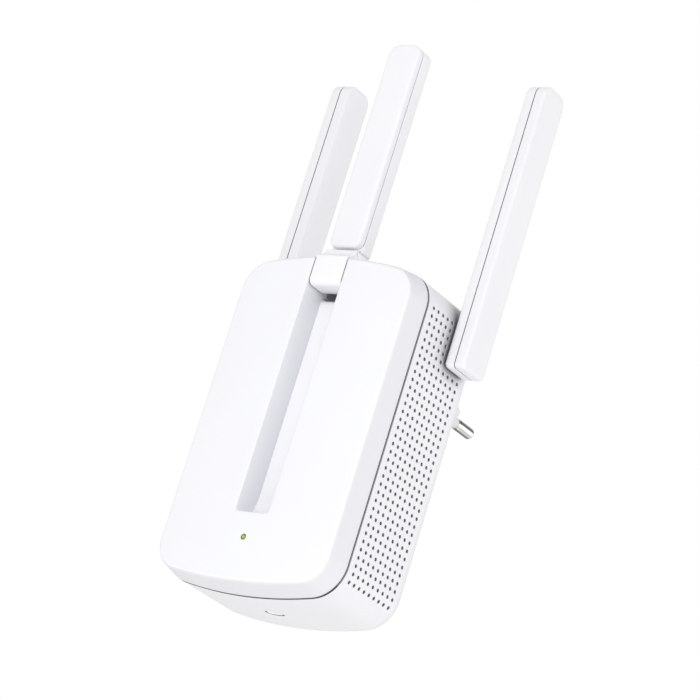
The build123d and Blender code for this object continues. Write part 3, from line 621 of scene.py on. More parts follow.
# %% Vent holes
row, column = np.meshgrid(np.arange(VENT_ROWS), np.arange(VENT_COLUMNS), indexing="ij")
row, column = row.ravel(), column.ravel()
foot = (row >= VENT_ROWS - FOOT_ROWS) & (column >= VENT_COLUMNS - FOOT_COLUMNS)
row, column = row[~foot], column[~foot]
centre_z, centre_y = FIRST_ROW + row * ROW_PITCH, FIRST_COLUMN + column * COLUMN_PITCH
centres = np.column_stack([centre_z, centre_y])
lip = [(0, VENT_RADIUS + 0.12, 0), (0, VENT_RADIUS + 0.04, 0.03), (0, VENT_RADIUS, 0.12)]
skin.punch(np.column_stack([3 * row, first_vent + 3 * column]), 3, 3, on_side, 1, centres, lip)
last = left_start + len(vent_z) - 1
mirrored = np.column_stack([last - 3 * row - 3, first_vent + 3 * column])
skin.punch(mirrored, 3, 3, on_side, -1, centres, lip)
print("vent holes on each side:", len(row))

# %% [markdown]
# Three more kinds of opening are left: the round holes for the pivots of the side antennas, a shallow dish
# with the button's hole in the bottom, and the notch at the top into which the antenna bay reaches.

# %% Pivot holes, notch and button hole
pivot_low, pivot_high = limits("right_antenna_clip")
PIVOT = [[(pivot_low[2] + pivot_high[2]) / 2 - MIDDLE_Z, (pivot_low[1] + pivot_high[1]) / 2]]
PIVOT_HOLE = 4.1
bearing = [(0, PIVOT_HOLE + 0.25, 0), (0, PIVOT_HOLE, 0.25)]
first = first_vent + 3 * (VENT_COLUMNS - FOOT_COLUMNS)
block = 3 * FOOT_ROWS, 3 * FOOT_COLUMNS
skin.punch(np.array([[3 * (VENT_ROWS - FOOT_ROWS), first]]), *block, on_side, 1, np.array(PIVOT), bearing)
skin.punch(np.array([[left_start, first]]), *block, on_side, -1, np.array(PIVOT), bearing)
button_low, button_high = limits("button_cap")
BUTTON_Y = (button_low[1] + button_high[1]) / 2
# The 10 cells across the button's span, in the 7 columns around its depth.
bottom_block = np.array([[low_start + 11, first_vent + 11]])
dish = [(1.5, 2.6, 0), (1.5, 2.4, 0.1), (1.5, 2.0, 0.28), (1.5, 1.8, 0.4)]
skin.punch(bottom_block, 10, 7, on_bottom, 1, np.array([[0.0, BUTTON_Y]]), dish)
top_start = len(right_side) + len(top_corner)
# The 8 cells between the sides of the notch, as deep as two columns of holes.
notch = slice(top_start + 9, top_start + 17)
skin.keep[notch, : first_vent + 6] = False
points, quads = skin.shell()
housing = piece("housing_skin", points, quads[:, ::-1], housing_white)

# %% [markdown]
# The faces inside get painted shade by where they lie: the walls of the vent holes are painted grey, because
# light reaches them from outside, and the inner faces nearly black, because hardly any does.

# %% Finishes of the housing
# A point in the middle of the space inside, which every face of the inner wall looks towards.
INSIDE = np.array([0, -48, MIDDLE_Z])


def hole_walls(c, n):
    """The walls of the vent holes, under the skin of a side but less deep than the space inside, and the
    broken edge of the rim at the sides, where more light gets in than below."""
    under_skin = side_at(c[:, 2] - MIDDLE_Z)[:, 0] - np.abs(c[:, 0])
    on_side = (np.abs(c[:, 2] - MIDDLE_Z) < 48) & (c[:, 1] < BACK_Y - BACK_ROUND - 0.8)
    on_break = np.abs(c[:, 1] - RIM_Y - RIM_BREAK / 2) < 0.4 * RIM_BREAK
    return (under_skin > 0.5) & (under_skin < 3) & on_side | on_break & (np.abs(n[:, 0]) > 0.6)


def housing_inside(c, n):
    """The rim, its broken edge, the inner wall, which faces the middle, and the button hole's wall."""
    facing_in = (n * (c - INSIDE)).sum(axis=1) < -0.6 * np.abs(c[:, 0])
    around_button = (np.abs(c[:, 0]) < 3.5) & (np.abs(c[:, 1] - BUTTON_Y) < 2.05)
    under_bottom = c[:, 2] - MIDDLE_Z + ARCH_Z + np.sqrt(ARCH_RADIUS**2 - c[:, 0].clip(-20, 20) ** 2)
    button_wall = around_button & (under_bottom > 0.3) & (under_bottom < 3)
    return (facing_in | button_wall | (c[:, 1] < RIM_Y + 0.6 * RIM_BREAK)) & ~hole_walls(c, n)


# Painted shade: grey hole walls and rim break, near-black inside faces and button hole wall.
lined(housing, hole_walls, painted_shade_hole)
lined(housing, housing_inside, painted_shade_inner)
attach(housing, "body")
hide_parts("rear_housing")

# %% [markdown]
# ## Front cover
# The cover's face is bowed from side to side like a piece of a very wide cylinder, and its sides lean in
# towards it. The edge between the two is a round whose centre is found for each point of the outline, so
# that it touches the face and the leaning side exactly. The first line of the face follows from it.

# %% The round edge of the face
LEAN = np.radians(10.5)
CROWN = 1.5
EDGE_ROUND = 1.3
half_face = HALF_WIDTH - (EDGE_Y + SEAM_GAP / 2 - FACE_Y - CROWN) * np.tan(LEAN)
CROWN_RADIUS = (half_face**2 + CROWN**2) / (2 * CROWN)


def bowed(x):
    """Depth of the face: it falls back with the square of x, on a cylinder of CROWN_RADIUS."""
    return FACE_Y + CROWN_RADIUS - np.sqrt(CROWN_RADIUS**2 - x**2)


def face_inset(x, nx):
    """Inset of the line where the round edge begins on the face, and how far the face is tilted there."""
    tilt = x * nx / CROWN_RADIUS
    turn, ahead = np.cos(tilt) - np.sin(LEAN), np.cos(LEAN) - np.sin(tilt)
    return (EDGE_Y - bowed(x) - EDGE_ROUND * turn) * np.tan(LEAN) + EDGE_ROUND * ahead, tilt


SLOT_HALF = 6.6
SLOT_ROUND = 0.5
mouth = SLOT_HALF + SLOT_ROUND
slot_x = mouth * np.sin(np.linspace(-np.pi / 2, np.pi / 2, 13))
SLOT_INNER = len(slot_x) - 2
corner = corner_at(np.linspace(0, TURN, 13))
wing_x = ARCH_END + (mouth - ARCH_END) * np.linspace(0, 1, 10)[1:]
inset, _ = face_inset(wing_x, wing_x / ARCH_RADIUS)
wing = arch_at(wing_x / (1 - inset / ARCH_RADIUS))
half_columns = np.concatenate([corner, wing])
# The inset depends on the face's tilt at the place it leads to, so a guess is improved until it settles.
inset = 3.5
for _ in range(6):
    inset, tilt = face_inset(half_columns[:, 0] - inset * half_columns[:, 2], half_columns[:, 2])
face_half = half_columns[:, :2] - inset[:, None] * half_columns[:, 2:]
print("face inset from", round(inset.min(), 2), "to", round(inset.max(), 2), "mm")

# %% [markdown]
# The antenna bay is a long slot with a fingertip scoop at its lower end and a deeper pocket at the top for
# the hinge. Its depth is one function of the height, and the columns of the face, the walls of the slot
# and its floor all share the same rows, so the patches meet point to point.

# %% Depth of the bay
BAY_END = 24.4 - HALF_HEIGHT
FLOOR_Y = FACE_Y + 9.55
POCKET_Y = FACE_Y + 16.2
POCKET_Z = HALF_HEIGHT - 12.7
SCOOP, LEAD = 4.5, 2.0
END_ROUND, END_ROUND_DEEP = 1.6, 2.5
HINGE_Y, HINGE_Z = FACE_Y + 6.5, HALF_HEIGHT - 4.8


def end_lift(x, radius):
    """How far the slot's lower end is lifted at x by its corner rounds, fading away outside the slot."""
    over = np.clip(np.abs(x) - mouth + radius, 0, radius)
    away = np.clip((np.abs(x) - mouth) / 14, 0, 1)
    return (radius - np.sqrt(radius**2 - over**2)) * (1 - away) ** 2


def bay_floor(z):
    """Floor of the bay: a quarter round up to the end wall, flat, then a round into the pocket."""
    scoop = np.sqrt(SCOOP**2 - np.clip(BAY_END + SCOOP - z, 0, SCOOP) ** 2) - SCOOP
    lead = LEAD - np.sqrt(LEAD**2 - np.clip(z - POCKET_Z + LEAD, 0, LEAD) ** 2)
    return np.where(z > POCKET_Z + 0.1, POCKET_Y, FLOOR_Y + scoop + lead)


TOP_EDGE = ARCH_Z + np.sqrt(ARCH_RADIUS**2 - SLOT_HALF**2)
row_z = np.concatenate([
    BAY_END + np.array([0, 0.25, 0.7, 1.3, 2.1, 3.1, 4.5]),
    np.linspace(BAY_END + SCOOP, POCKET_Z - LEAD, 34)[1:],
    POCKET_Z - LEAD + LEAD * np.array([0.3, 0.55, 0.75, 0.9, 1.0]),
    POCKET_Z + np.array([1.0, 1.8, 2.7, 3.6, 4.6, 5.8, 7.0, 8.2, 9.4, 10.6, 11.3, 12.0]), [TOP_EDGE],
])
share_up = (row_z - BAY_END) / (TOP_EDGE - BAY_END)
print("rows up the slot:", len(row_z))

# %% [markdown]
# The face is one patch of columns that run from the bottom edge to the top edge. Its rows stop at the
# slot, and beside the slot they share their heights with the bay. A block of cells around the lamp is
# left out for its hole, whose edge is broken a little.

# %% Face of the cover
lamp_low, lamp_high = limits("light_pipe")
LAMP_Z = (lamp_low[2] + lamp_high[2]) / 2 - MIDDLE_Z
LOW_LINE = BAY_END - SLOT_ROUND
middle_inset, _ = face_inset(slot_x, slot_x / ARCH_RADIUS)
middle_top = ARCH_Z + np.sqrt((ARCH_RADIUS - middle_inset) ** 2 - slot_x**2)
column_x = np.concatenate([-face_half[:, 0], slot_x[1:-1], face_half[::-1, 0]])
column_top = np.concatenate([face_half[:, 1], middle_top[1:-1], face_half[::-1, 1]])
LAMP_BLOCK, LAMP_HOLE = 1.8, 0.98
end_z = LOW_LINE + end_lift(column_x, END_ROUND)
low_part = [
    (-column_top, LAMP_Z - LAMP_BLOCK, [0, 0.012, 0.08, 0.22, 0.4, 0.6, 0.8, 1]),
    (LAMP_Z - LAMP_BLOCK, LAMP_Z + LAMP_BLOCK, [0.25, 0.5, 0.75, 1]),
    (LAMP_Z + LAMP_BLOCK, end_z, [0.3, 0.65, 1]),
]
rows = [a + (b - a) * f for a, b, fractions in low_part for f in fractions]
low_rows = len(rows)
rows += [end_z + (column_top - end_z) * f for f in share_up[1:]]
face_z = np.stack([np.broadcast_to(r, column_x.shape) for r in rows], axis=1)
face_x = np.broadcast_to(column_x[:, None], face_z.shape)
outer = np.stack([face_x, bowed(face_x), face_z + MIDDLE_Z], axis=2)


def on_face(side, x, z, depth):
    """Points of the face at x and z, depth under its surface."""
    points = np.column_stack([x.ravel(), bowed(x.ravel()) + depth, z.ravel() + MIDDLE_Z])
    return points, np.zeros_like(points)


face = Skin(outer, np.zeros_like(outer))
# The middle 4 of the 12 columns of cells below the slot, and the 4 rows of cells beside the lamp.
lamp_block = np.array([[len(face_half) - 1 + 4, 7]])
lamp_rings = [(0, LAMP_HOLE + 0.14, 0), (0, LAMP_HOLE, 0.14), (0, LAMP_HOLE, 1.2)]
face.punch(lamp_block, 4, 4, on_face, 1, np.array([[0.0, LAMP_Z]]), lamp_rings)
face.keep[len(face_half) - 1 : len(face_half) + SLOT_INNER, low_rows - 1 :] = False
face_quads = [cells(face.index)[face.keep[:-1]]] + face.quads
patches = [(np.concatenate(face.points), np.concatenate(face_quads))]
print("face patch", outer.shape[:2])

# %% [markdown]
# From the edge of the face a band goes round the whole cover: the round edge, the leaning side, a tiny
# break at its end, and the lip that slides into the housing. The band begins at one wall of the slot and
# ends at the other, on the slot's own round edge, so that it meets the bay's walls point to point.

# %% Round edge, leaning sides and lip
round_steps = np.array([0, 0.06, 0.15, 0.3, 0.45, 0.6, 0.75, 0.9, 1.0])
side_steps = np.array([0.03, 0.14, 0.26, 0.38, 0.5, 0.62, 0.74, 0.86, 0.985])
EDGE_BREAK = 0.12
LIP_INSET, LIP_REACH = 1.8, 2.8
side_rows = face_z[-1][::-1][1:-1]
one, zero = np.ones_like(side_rows), np.zeros_like(side_rows)
right_edge = np.column_stack([HALF_WIDTH * one, side_rows, one, zero])
middle = arch_at(slot_x[1:-1] / (1 - middle_inset[1:-1] / ARCH_RADIUS)) * [1, -1, 1, -1]
around = np.concatenate([
    half_columns[::-1], right_edge, half_columns * [1, -1, 1, -1], middle[::-1],
    half_columns[::-1] * [-1, -1, -1, -1], right_edge[::-1] * [-1, 1, -1, 1], half_columns * [-1, 1, -1, 1],
])
inset = np.full(len(around), 3.5)
for _ in range(8):
    edge_x = around[:, 0] - inset * around[:, 2]
    inset, tilt = face_inset(edge_x, around[:, 2])
start_y = bowed(edge_x)
swing = tilt[:, None] + (np.pi / 2 - LEAN - tilt[:, None]) * round_steps
round_inset = inset[:, None] - EDGE_ROUND * (np.sin(swing) - np.sin(tilt)[:, None])
round_y = start_y[:, None] + EDGE_ROUND * (np.cos(tilt)[:, None] - np.cos(swing))
side_y = round_y[:, -1:] + (EDGE_Y - EDGE_BREAK - round_y[:, -1:]) * side_steps
whole = np.ones((len(around), 1))
band_y = np.concatenate([round_y, side_y, whole * [EDGE_Y, EDGE_Y, EDGE_Y + LIP_REACH]], axis=1)
side_inset = (EDGE_Y - side_y) * np.tan(LEAN)
lip_inset = whole * [EDGE_BREAK, LIP_INSET, LIP_INSET]
band_inset = np.concatenate([round_inset, side_inset, lip_inset], axis=1)
band_x = around[:, :1] - band_inset * around[:, 2:3]
band_z = around[:, 1:2] - band_inset * around[:, 3:]


def slot_half(under):
    """Half width of the slot, under the face by this much: it narrows on the slot's round edge."""
    return mouth - np.sqrt(SLOT_ROUND**2 - np.clip(SLOT_ROUND - under, 0, SLOT_ROUND) ** 2)


for end, side in ((0, 1), (-1, -1)):
    band_x[end] = side * slot_half(band_y[end] - start_y[end])
    band_z[end] = ARCH_Z + np.sqrt((ARCH_RADIUS - band_inset[end]) ** 2 - band_x[end] ** 2)
band = np.stack([band_x, band_y, band_z + MIDDLE_Z], axis=2)
patches.append((band.reshape(-1, 3), cells(np.arange(band_x.size).reshape(band_x.shape)).reshape(-1, 4)))
print("band", band.shape[:2])

# %% [markdown]
# The walls and the lower end of the bay are one patch that goes down one wall, across the end and up the
# other. Its depth follows the floor, so its last column lies on the floor's outline. Both walls have a
# hole for the knuckle's trunnions.

# %% Walls of the bay
rows_up = len(row_z)
shared = len(round_steps) + len(side_steps) + 1
face_edge = start_y[0]
under = np.concatenate([band_y[0, :shared] - face_edge, np.linspace(EDGE_Y, POCKET_Y, 8)[1:] - face_edge])
wall_top = np.concatenate([band_z[0, :shared], np.full(7, TOP_EDGE)])
half = slot_half(under)
low = BAY_END - (half - SLOT_HALF)
radius = END_ROUND + (END_ROUND_DEEP - END_ROUND) * under / under[-1]
lift = end_lift(slot_x[:, None], radius)
depth = bay_floor(row_z)[:, None] - face_edge
stretch = (depth - SLOT_ROUND) / (under[-1] - SLOT_ROUND)
fitted = np.where(under <= SLOT_ROUND, under, SLOT_ROUND + (under - SLOT_ROUND) * stretch)
wall_y = face_edge + fitted
wall_z = low + radius + share_up[:, None] * (wall_top - low - radius)
end_x = slot_x[1:-1, None] * half / mouth
end_y = wall_y[0] + (bowed(slot_x[1:-1, None]) - face_edge) * (1 - under / under[-1])
end_z = low + lift[1:-1]
bay_x = np.concatenate([np.broadcast_to(-half, wall_y.shape), end_x, np.broadcast_to(half, wall_y.shape)])
bay_y = np.concatenate([wall_y[::-1], end_y, wall_y])
bay_z = np.concatenate([wall_z[::-1], end_z, wall_z])


def on_wall(side, z, y, depth):
    """Points of the bay's side walls."""
    points = np.column_stack([np.full(z.size, side * SLOT_HALF), y.ravel(), z.ravel() + MIDDLE_Z])
    return points, np.zeros_like(points)


walls = Skin(np.stack([bay_x, bay_y, bay_z + MIDDLE_Z], axis=2), np.zeros((*bay_x.shape, 3)))
first_row, last_row = rows_up - 9, rows_up - 3
# Each hole takes 6 rows of cells near the top and 9 columns in the middle of the wall's depth.
axle, axle_hole = np.array([[HINGE_Z, HINGE_Y]]), [(0, 2.6, 0)]
walls.punch(np.array([[rows_up + SLOT_INNER + first_row, 10]]), 6, 9, on_wall, 1, axle, axle_hole)
walls.punch(np.array([[rows_up - 1 - last_row, 10]]), 6, 9, on_wall, -1, axle, axle_hole)
wall_quads = np.concatenate([cells(walls.index)[walls.keep[:-1]]] + walls.quads)
patches.append((np.concatenate(walls.points), wall_quads))
print("wall patch", bay_x.shape)

# %% [markdown]
# The floor has one column for each point across the slot and shares its rows with the walls. With it the
# patches are complete, and the points on their shared edges are merged when the piece is made.

# %% Floor of the bay, and the whole cover
floor_x = np.broadcast_to(slot_x[:, None] * SLOT_HALF / mouth, (len(slot_x), rows_up))
floor_y = np.broadcast_to(bay_floor(row_z), floor_x.shape)
floor_up = BAY_END + lift[:, -1:] + share_up * (TOP_EDGE - BAY_END - lift[:, -1:])
bottom = np.stack([floor_x, floor_y, floor_up + MIDDLE_Z], axis=2)
patches.append((bottom.reshape(-1, 3), cells(np.arange(floor_x.size).reshape(floor_x.shape)).reshape(-1, 4)))
offsets = np.cumsum([0] + [len(points) for points, _ in patches])
cover_quads = np.concatenate([quads + offset for (_, quads), offset in zip(patches, offsets)])
cover = piece("cover_skin", np.concatenate([points for points, _ in patches]), cover_quads, cover_white)

# %% [markdown]
# The cover is one moulding, but its slot, its leaning sides and its lip look different, so their faces get
# finishes of their own: painted shade greys the slot's walls with depth, the hinge well, the leaning sides
# and the lip, and painted light brightens the polished floor. Solidify then gives it its wall. Even thickness
# stays off, because it throws points far out where faces meet at a sharp angle.

# %% Finishes and wall of the cover
COVER_WALL = 1.4


def in_bay(c):
    """Faces of the antenna bay, from their centres: between its walls and above its lower end."""
    return (np.abs(c[:, 0]) < SLOT_HALF + 0.55) & (c[:, 2] > BAY_END + MIDDLE_Z - 0.6)


WALL_Y, STRIP_Y, WELL_Y = FACE_Y + 0.7, FACE_Y + 8, FACE_Y + 11.7
# Painted shade: the slot walls grow greyer with depth.
lined(cover, lambda c, n: in_bay(c) & (np.abs(n[:, 0]) > 0.9) & (c[:, 1] > WALL_Y), slot_white)
# Painted light: the floor strip gets a lighter white.
lined(cover, lambda c, n: in_bay(c) & (n[:, 1] < -0.9) & (c[:, 1] > STRIP_Y), painted_light_strip)
# Painted shade: the hinge well is grey.
lined(cover, lambda c, n: in_bay(c) & (c[:, 1] > WELL_Y), painted_shade_well)
# Painted shade: the leaning flanks get a darker white.
lined(cover, lambda c, n: ~in_bay(c) & (n[:, 1] > -0.75), painted_shade_flank)
# Painted shade: the lip is nearly black, so the seam reads as a dark line.
lined(cover, lambda c, n: ~in_bay(c) & (c[:, 1] > EDGE_Y - 0.01), painted_shade_inner)
wall = cover.modifiers.new("wall", "SOLIDIFY")
wall.thickness = COVER_WALL * MM
wall.offset = -1
wall.use_even_offset = False
wall.use_quality_normals = True
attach(cover, "body")
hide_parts("front_cover")

# %% [markdown]
# ## Blades, knuckle and plug
# These are thick flat pieces with soft edges. Each is an outline of straight lines and arcs, carried
# through a profile of (height, inset) pairs: at each height the outline is drawn in along its normals, so
# a quarter circle of insets rounds the edge.

# %% Outlines and profiles


def rounded(corners, radii, steps=8):
    """Polygon with arcs in its corners. An arc's centre lies on the bisector, radius / sin(half) away."""
    p, r = np.array(corners, float), np.array(radii, float)[:, None]
    before, after = np.roll(p, 1, axis=0) - p, np.roll(p, -1, axis=0) - p
    before /= np.linalg.norm(before, axis=1)[:, None]
    after /= np.linalg.norm(after, axis=1)[:, None]
    half = np.arccos(np.clip((before * after).sum(axis=1), -1, 1))[:, None] / 2
    middle = before + after
    middle /= np.linalg.norm(middle, axis=1)[:, None]
    centre = p + middle * r / np.sin(half)
    convex = np.sign(after[:, :1] * before[:, 1:] - after[:, 1:] * before[:, :1])
    swing = np.linspace(-1, 1, steps) * (np.pi / 2 - half) * convex
    c, s = np.cos(swing), np.sin(swing)
    out = -middle
    spoke = np.stack([out[:, :1] * c - out[:, 1:] * s, out[:, :1] * s + out[:, 1:] * c], axis=2)
    points = centre[:, None] + spoke * r[:, None]
    return points.reshape(-1, 2), (spoke * convex[:, None]).reshape(-1, 2)


def soft(low, high, low_round, high_round, steps=6):
    """Profile of (height, inset) between two heights, with a quarter round at each end."""
    swing = np.linspace(0, np.pi / 2, steps)
    back = swing[::-1]
    start = np.column_stack([low + low_round * (1 - np.sin(back)), low_round * (1 - np.cos(back))])
    end = np.column_stack([high - high_round * (1 - np.sin(swing)), high_round * (1 - np.cos(swing))])
    return np.concatenate([start, end])


def middle_line(reach):
    """Spine along u: the u of each outline point, cut off at reach either way, and 0 for v."""
    return lambda flat: np.column_stack([np.clip(flat[:, 0], -reach, reach), 0 * flat[:, 0]])


print("outline of", len(rounded([(0, 0), (1, 0), (1, 1)], [0.1] * 3)[0]), "points")

# %% [markdown]
# A slab and a piece of lathe work are both worked out in columns u, v, h and then laid into x, y, z. The
# flat ends of a slab close onto a spine, a line in its middle, so no face has to span a whole end.

# %% Slabs and lathe work


def slab(outline, profile, spine):
    """Closed solid: outline carried through profile, both ends closed onto the spine. Columns u, v, h."""
    flat, normal = outline
    uv = flat[:, None] - profile[:, 1][None, :, None] * normal[:, None]
    core = spine(flat)
    near = 0.85 * uv[:, [0, -1]] + 0.15 * core[:, None]
    uv = np.concatenate([core[:, None], near[:, :1], uv, near[:, 1:], core[:, None]], axis=1)
    h = np.concatenate([profile[[0, 0], 0], profile[:, 0], profile[[-1, -1], 0]])
    points = np.concatenate([uv, np.broadcast_to(h, uv.shape[:2])[..., None]], axis=2).reshape(-1, 3)
    index = np.arange(len(points)).reshape(uv.shape[:2])
    return points, cells(np.concatenate([index, index[:1]])).reshape(-1, 4)


def turned(profile, steps=40):
    """Lathe work: (h, radius) pairs turned about the axis h. Columns u, v, h, like a slab."""
    profile = np.array(profile, float)
    angle = np.linspace(0, 2 * np.pi, steps, endpoint=False)
    u, v = profile[:, 1] * np.cos(angle)[:, None], profile[:, 1] * np.sin(angle)[:, None]
    points = np.stack([u, v, np.broadcast_to(profile[:, 0], u.shape)], axis=2).reshape(-1, 3)
    index = np.arange(len(points)).reshape(u.shape)
    return points, cells(np.concatenate([index, index[:1]])).reshape(-1, 4)


def joined(*solids):
    """Several (points, quads) pairs as one."""
    starts = np.cumsum([0] + [len(points) for points, _ in solids])
    return np.concatenate([s[0] for s in solids]), np.concatenate([s[1] + k for s, k in zip(solids, starts)])


def placed(solid, u, v, h, at=(0, 0, 0)):
    """Turns columns u, v, h into x, y, z: each of u, v, h is the direction it points to."""
    points, quads = solid
    axes = np.array([u, v, h], float)
    if np.linalg.det(axes) < 0:
        quads = quads[:, ::-1]
    return points @ axes + np.array(at), quads


print("points of a turned cone:", len(turned([(0, 0), (0, 1), (1, 0)])[0]))

# %% [markdown]
# Each side antenna is two shells glued along a seam. Where they meet, both edges are broken, and a narrow
# tongue of the base closes the groove, so the seam shows as a fine line. The base also has the hollow
# pivot on which the antenna turns in the body's side.

# %% Side antennas
BLADE_WIDTH = 12.4
BLADE_ROUND, TIP_ROUND = 1.0, 3.8
SEAM_HALF, SEAM_DEPTH, SEAM_BREAK = 0.14, 0.55, 0.18
outer_low, outer_high = limits("right_antenna_outer_shell")
_, inner_high = limits("right_antenna_inner_shell")
BLADE_Y = (outer_low[1] + outer_high[1]) / 2
SEAM_X = (inner_high[0] + outer_low[0]) / 2
FAR_X, FOOT_Z, TIP_Z = outer_high[0], outer_low[2], outer_high[2]
NEAR_X = 2 * SEAM_X - FAR_X


def blade_outline(foot, tip, foot_round, tip_round):
    """Outline of a blade's broad side: a rectangle with two large and two small corner rounds."""
    w = BLADE_WIDTH / 2
    corners = [(-w, foot), (w, foot), (w, tip), (-w, tip)]
    return rounded(corners, [foot_round, foot_round, tip_round, tip_round])


def blade_spine(foot, tip):
    """Points of the blade's middle line, each nearest to its outline point."""
    return lambda flat: np.column_stack([np.zeros(len(flat)), np.clip(flat[:, 1], foot + 5, tip - 5)])


blade = blade_outline(FOOT_Z, TIP_Z, 1.6, TIP_ROUND)
spine = blade_spine(FOOT_Z, TIP_Z)
tongue = np.array([[-0.15, SEAM_DEPTH], [SEAM_HALF, SEAM_DEPTH]])
cap_profile = soft(SEAM_HALF, FAR_X - SEAM_X, SEAM_BREAK, BLADE_ROUND)
shell_profile = np.concatenate([tongue, cap_profile])
sleeve = turned([(-4.6, 2.2), (-4.6, 3.8), (-4.4, 4.0), (0.6, 4.0), (0.6, 2.2), (-4.6, 2.2)], 48)
for name, side in (("left", -1), ("right", 1)):
    out, in_ = (side, 0, 0), (-side, 0, 0)
    lid = placed(slab(blade, cap_profile, spine), (0, 1, 0), (0, 0, 1), out, (side * SEAM_X, BLADE_Y, 0))
    base = placed(slab(blade, shell_profile, spine), (0, 1, 0), (0, 0, 1), in_, (side * SEAM_X, BLADE_Y, 0))
    tube = placed(sleeve, (0, 1, 0), (0, 0, 1), out, (side * NEAR_X, PIVOT[0][1], PIVOT[0][0] + MIDDLE_Z))
    for part, solid in (("outer", lid), ("inner", joined(base, tube))):
        made = piece(f"{name}_blade_{part}", *solid, antenna_white)
        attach(made, f"{name}_antenna")
        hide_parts(f"{name}_antenna_{part}_shell")

# %% [markdown]
# The middle antenna is the same sandwich, shorter and with its seam nearer to the front. Its front shell
# starts a little higher than its rear one, because the foot of the rear shell sits on the knuckle.

# %% Middle antenna
front_low, _ = limits("centre_antenna_front_shell")
rear_low, rear_high = limits("centre_antenna_rear_shell")
CENTRE_SEAM = HINGE_Y
front = blade_outline(rear_low[2] + 1.1, rear_high[2], 3.0, TIP_ROUND)
rear = blade_outline(rear_low[2], rear_high[2], 1.0, TIP_ROUND)
spine = blade_spine(rear_low[2], rear_high[2])
front_profile = soft(SEAM_HALF, CENTRE_SEAM - front_low[1], SEAM_BREAK, BLADE_ROUND)
rear_profile = soft(SEAM_HALF, rear_high[1] - CENTRE_SEAM, SEAM_BREAK, BLADE_ROUND)
rear_profile = np.concatenate([tongue, rear_profile])
for part, outline, profile, way in (("front", front, front_profile, -1), ("rear", rear, rear_profile, 1)):
    solid = placed(slab(outline, profile, spine), (1, 0, 0), (0, 0, 1), (0, way, 0), (0, CENTRE_SEAM, 0))
    made = piece(f"centre_blade_{part}", *solid, middle_white)
    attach(made, "centre_antenna")
    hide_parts(f"centre_antenna_{part}_shell")

# %% [markdown]
# The knuckle closes the top of the bay like a lid: its front is flush with the face, and above it a hollow
# curve runs back under the blade's foot. It is drawn in side view and carried across, and a turned rod
# through it makes both trunnions.

# %% Knuckle
toe, heel, brow, foot = -6.35, 5.25, 3.4, 7.1
corners = [(toe, -6.5), (heel, -6.5), (heel, foot), (-2.75, foot), (-3.3, 5.4), (toe, brow)]
side_view = rounded(corners, [2.2, 4.4, 0.3, 0.25, 2.6, 0.7])
body = slab(side_view, soft(-6.2, 6.2, 0.35, 0.35, 5), lambda flat: np.broadcast_to([1.0, 0.0], flat.shape))
trunnion = turned([(-10.0, 0), (-10.0, 2.2), (-9.7, 2.5), (9.7, 2.5), (10.0, 2.2), (10.0, 0)], 40)
solid = joined(
    placed(body, (0, 1, 0), (0, 0, 1), (1, 0, 0), (0, HINGE_Y, HINGE_Z + MIDDLE_Z)),
    placed(trunnion, (0, 1, 0), (0, 0, 1), (1, 0, 0), (0, HINGE_Y, HINGE_Z + MIDDLE_Z)),
)
knuckle = piece("knuckle_lid", *solid, knuckle_white)
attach(knuckle, "centre_antenna")
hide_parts("centre_antenna_knuckle")

# %% [markdown]
# ## Plug
# The plug is a solid six-sided block that stands on the back. Its root lies under the housing's back wall,
# and only its free end has a soft edge.

# %% Plug
_, plug_high = limits("plug_block")
top_line = [(PLUG_HALF, 0), (PLUG_FLAT, PLUG_RISE), (-PLUG_FLAT, PLUG_RISE)]
plug_shape = rounded(top_line + [(-x, -z) for x, z in top_line], [1.5] * 6)
solid = slab(plug_shape, soft(BACK_Y - 2.5, plug_high[1], 0.1, 0.9), middle_line(11))
plug = piece("plug_body", *placed(solid, (-1, 0, 0), (0, 0, 1), (0, 1, 0)), plug_white)
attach(plug, "body")
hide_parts("plug_block")

# %% [markdown]
# ## Metal
# Bare metal shows its colour only in what it mirrors, so its look comes from its roughness: fine scratches
# or drawing lines, stretched along the way the metal was worked, make the reflection uneven.

# %% Metal


def metal(name, colour, rough, grain_mm, stretch, **shader):
    """Bare metal: fine scratches stretched along one axis vary its shine and lift its surface a little."""
    made, tree, principled, place = material(name, Base_Color=linear(colour), Metallic=1.0, **shader)
    along = add(tree, "Mapping", Vector=(place, "Object"), Scale=stretch)
    scratch = add(tree, "TexNoise", Vector=(along, 0), Scale=1 / (grain_mm * MM), Detail=3.0)
    shine = add(tree, "MapRange", Value=(scratch, 0), To_Min=rough - 0.06, To_Max=rough + 0.1)
    bump = add(tree, "Bump", Height=(scratch, 0), Strength=0.2, Distance=0.004 * MM)
    feed(tree, principled, Roughness=(shine, 0), Normal=(bump, 0))
    return made


# Nickel-plated brass, drawn and tumbled: a bright warm grey. Wide dark lines along the pin, about 1.6 mm wide
# and fifty times as long, are a painted reflection of dark surroundings in its colour.
pin_nickel = metal("nickel_plated_brass_pin", "#CFCECB", 0.16, 0.25, (1, 0.1, 1))
tree, principled, place = reopened(pin_nickel)
along = add(tree, "Mapping", Vector=(place, "Object"), Scale=(1, 0.02, 1))
# Painted reflection: dark bands along the pin, in its base colour.
painted_reflection = add(tree, "TexNoise", Vector=(along, 0), Scale=1 / (1.6 * MM), Detail=1.0)
line = add(tree, "MapRange", Value=(painted_reflection, 0), From_Min=0.42, From_Max=0.58)
tone = add(tree, "Mix", MIX_COLOURS, _0=(line, 0), _6=linear("#57575A"), _7=linear("#DEDDDA"))
feed(tree, principled, Base_Color=(tone, 2))
print("pin metal:", pin_nickel.name)

# %% [markdown]
# Each pin has a bright metal end with a domed tip, and a white sleeve on its root so that no finger
# touches live metal. Both are lathe work, so a profile of a few radii is enough.

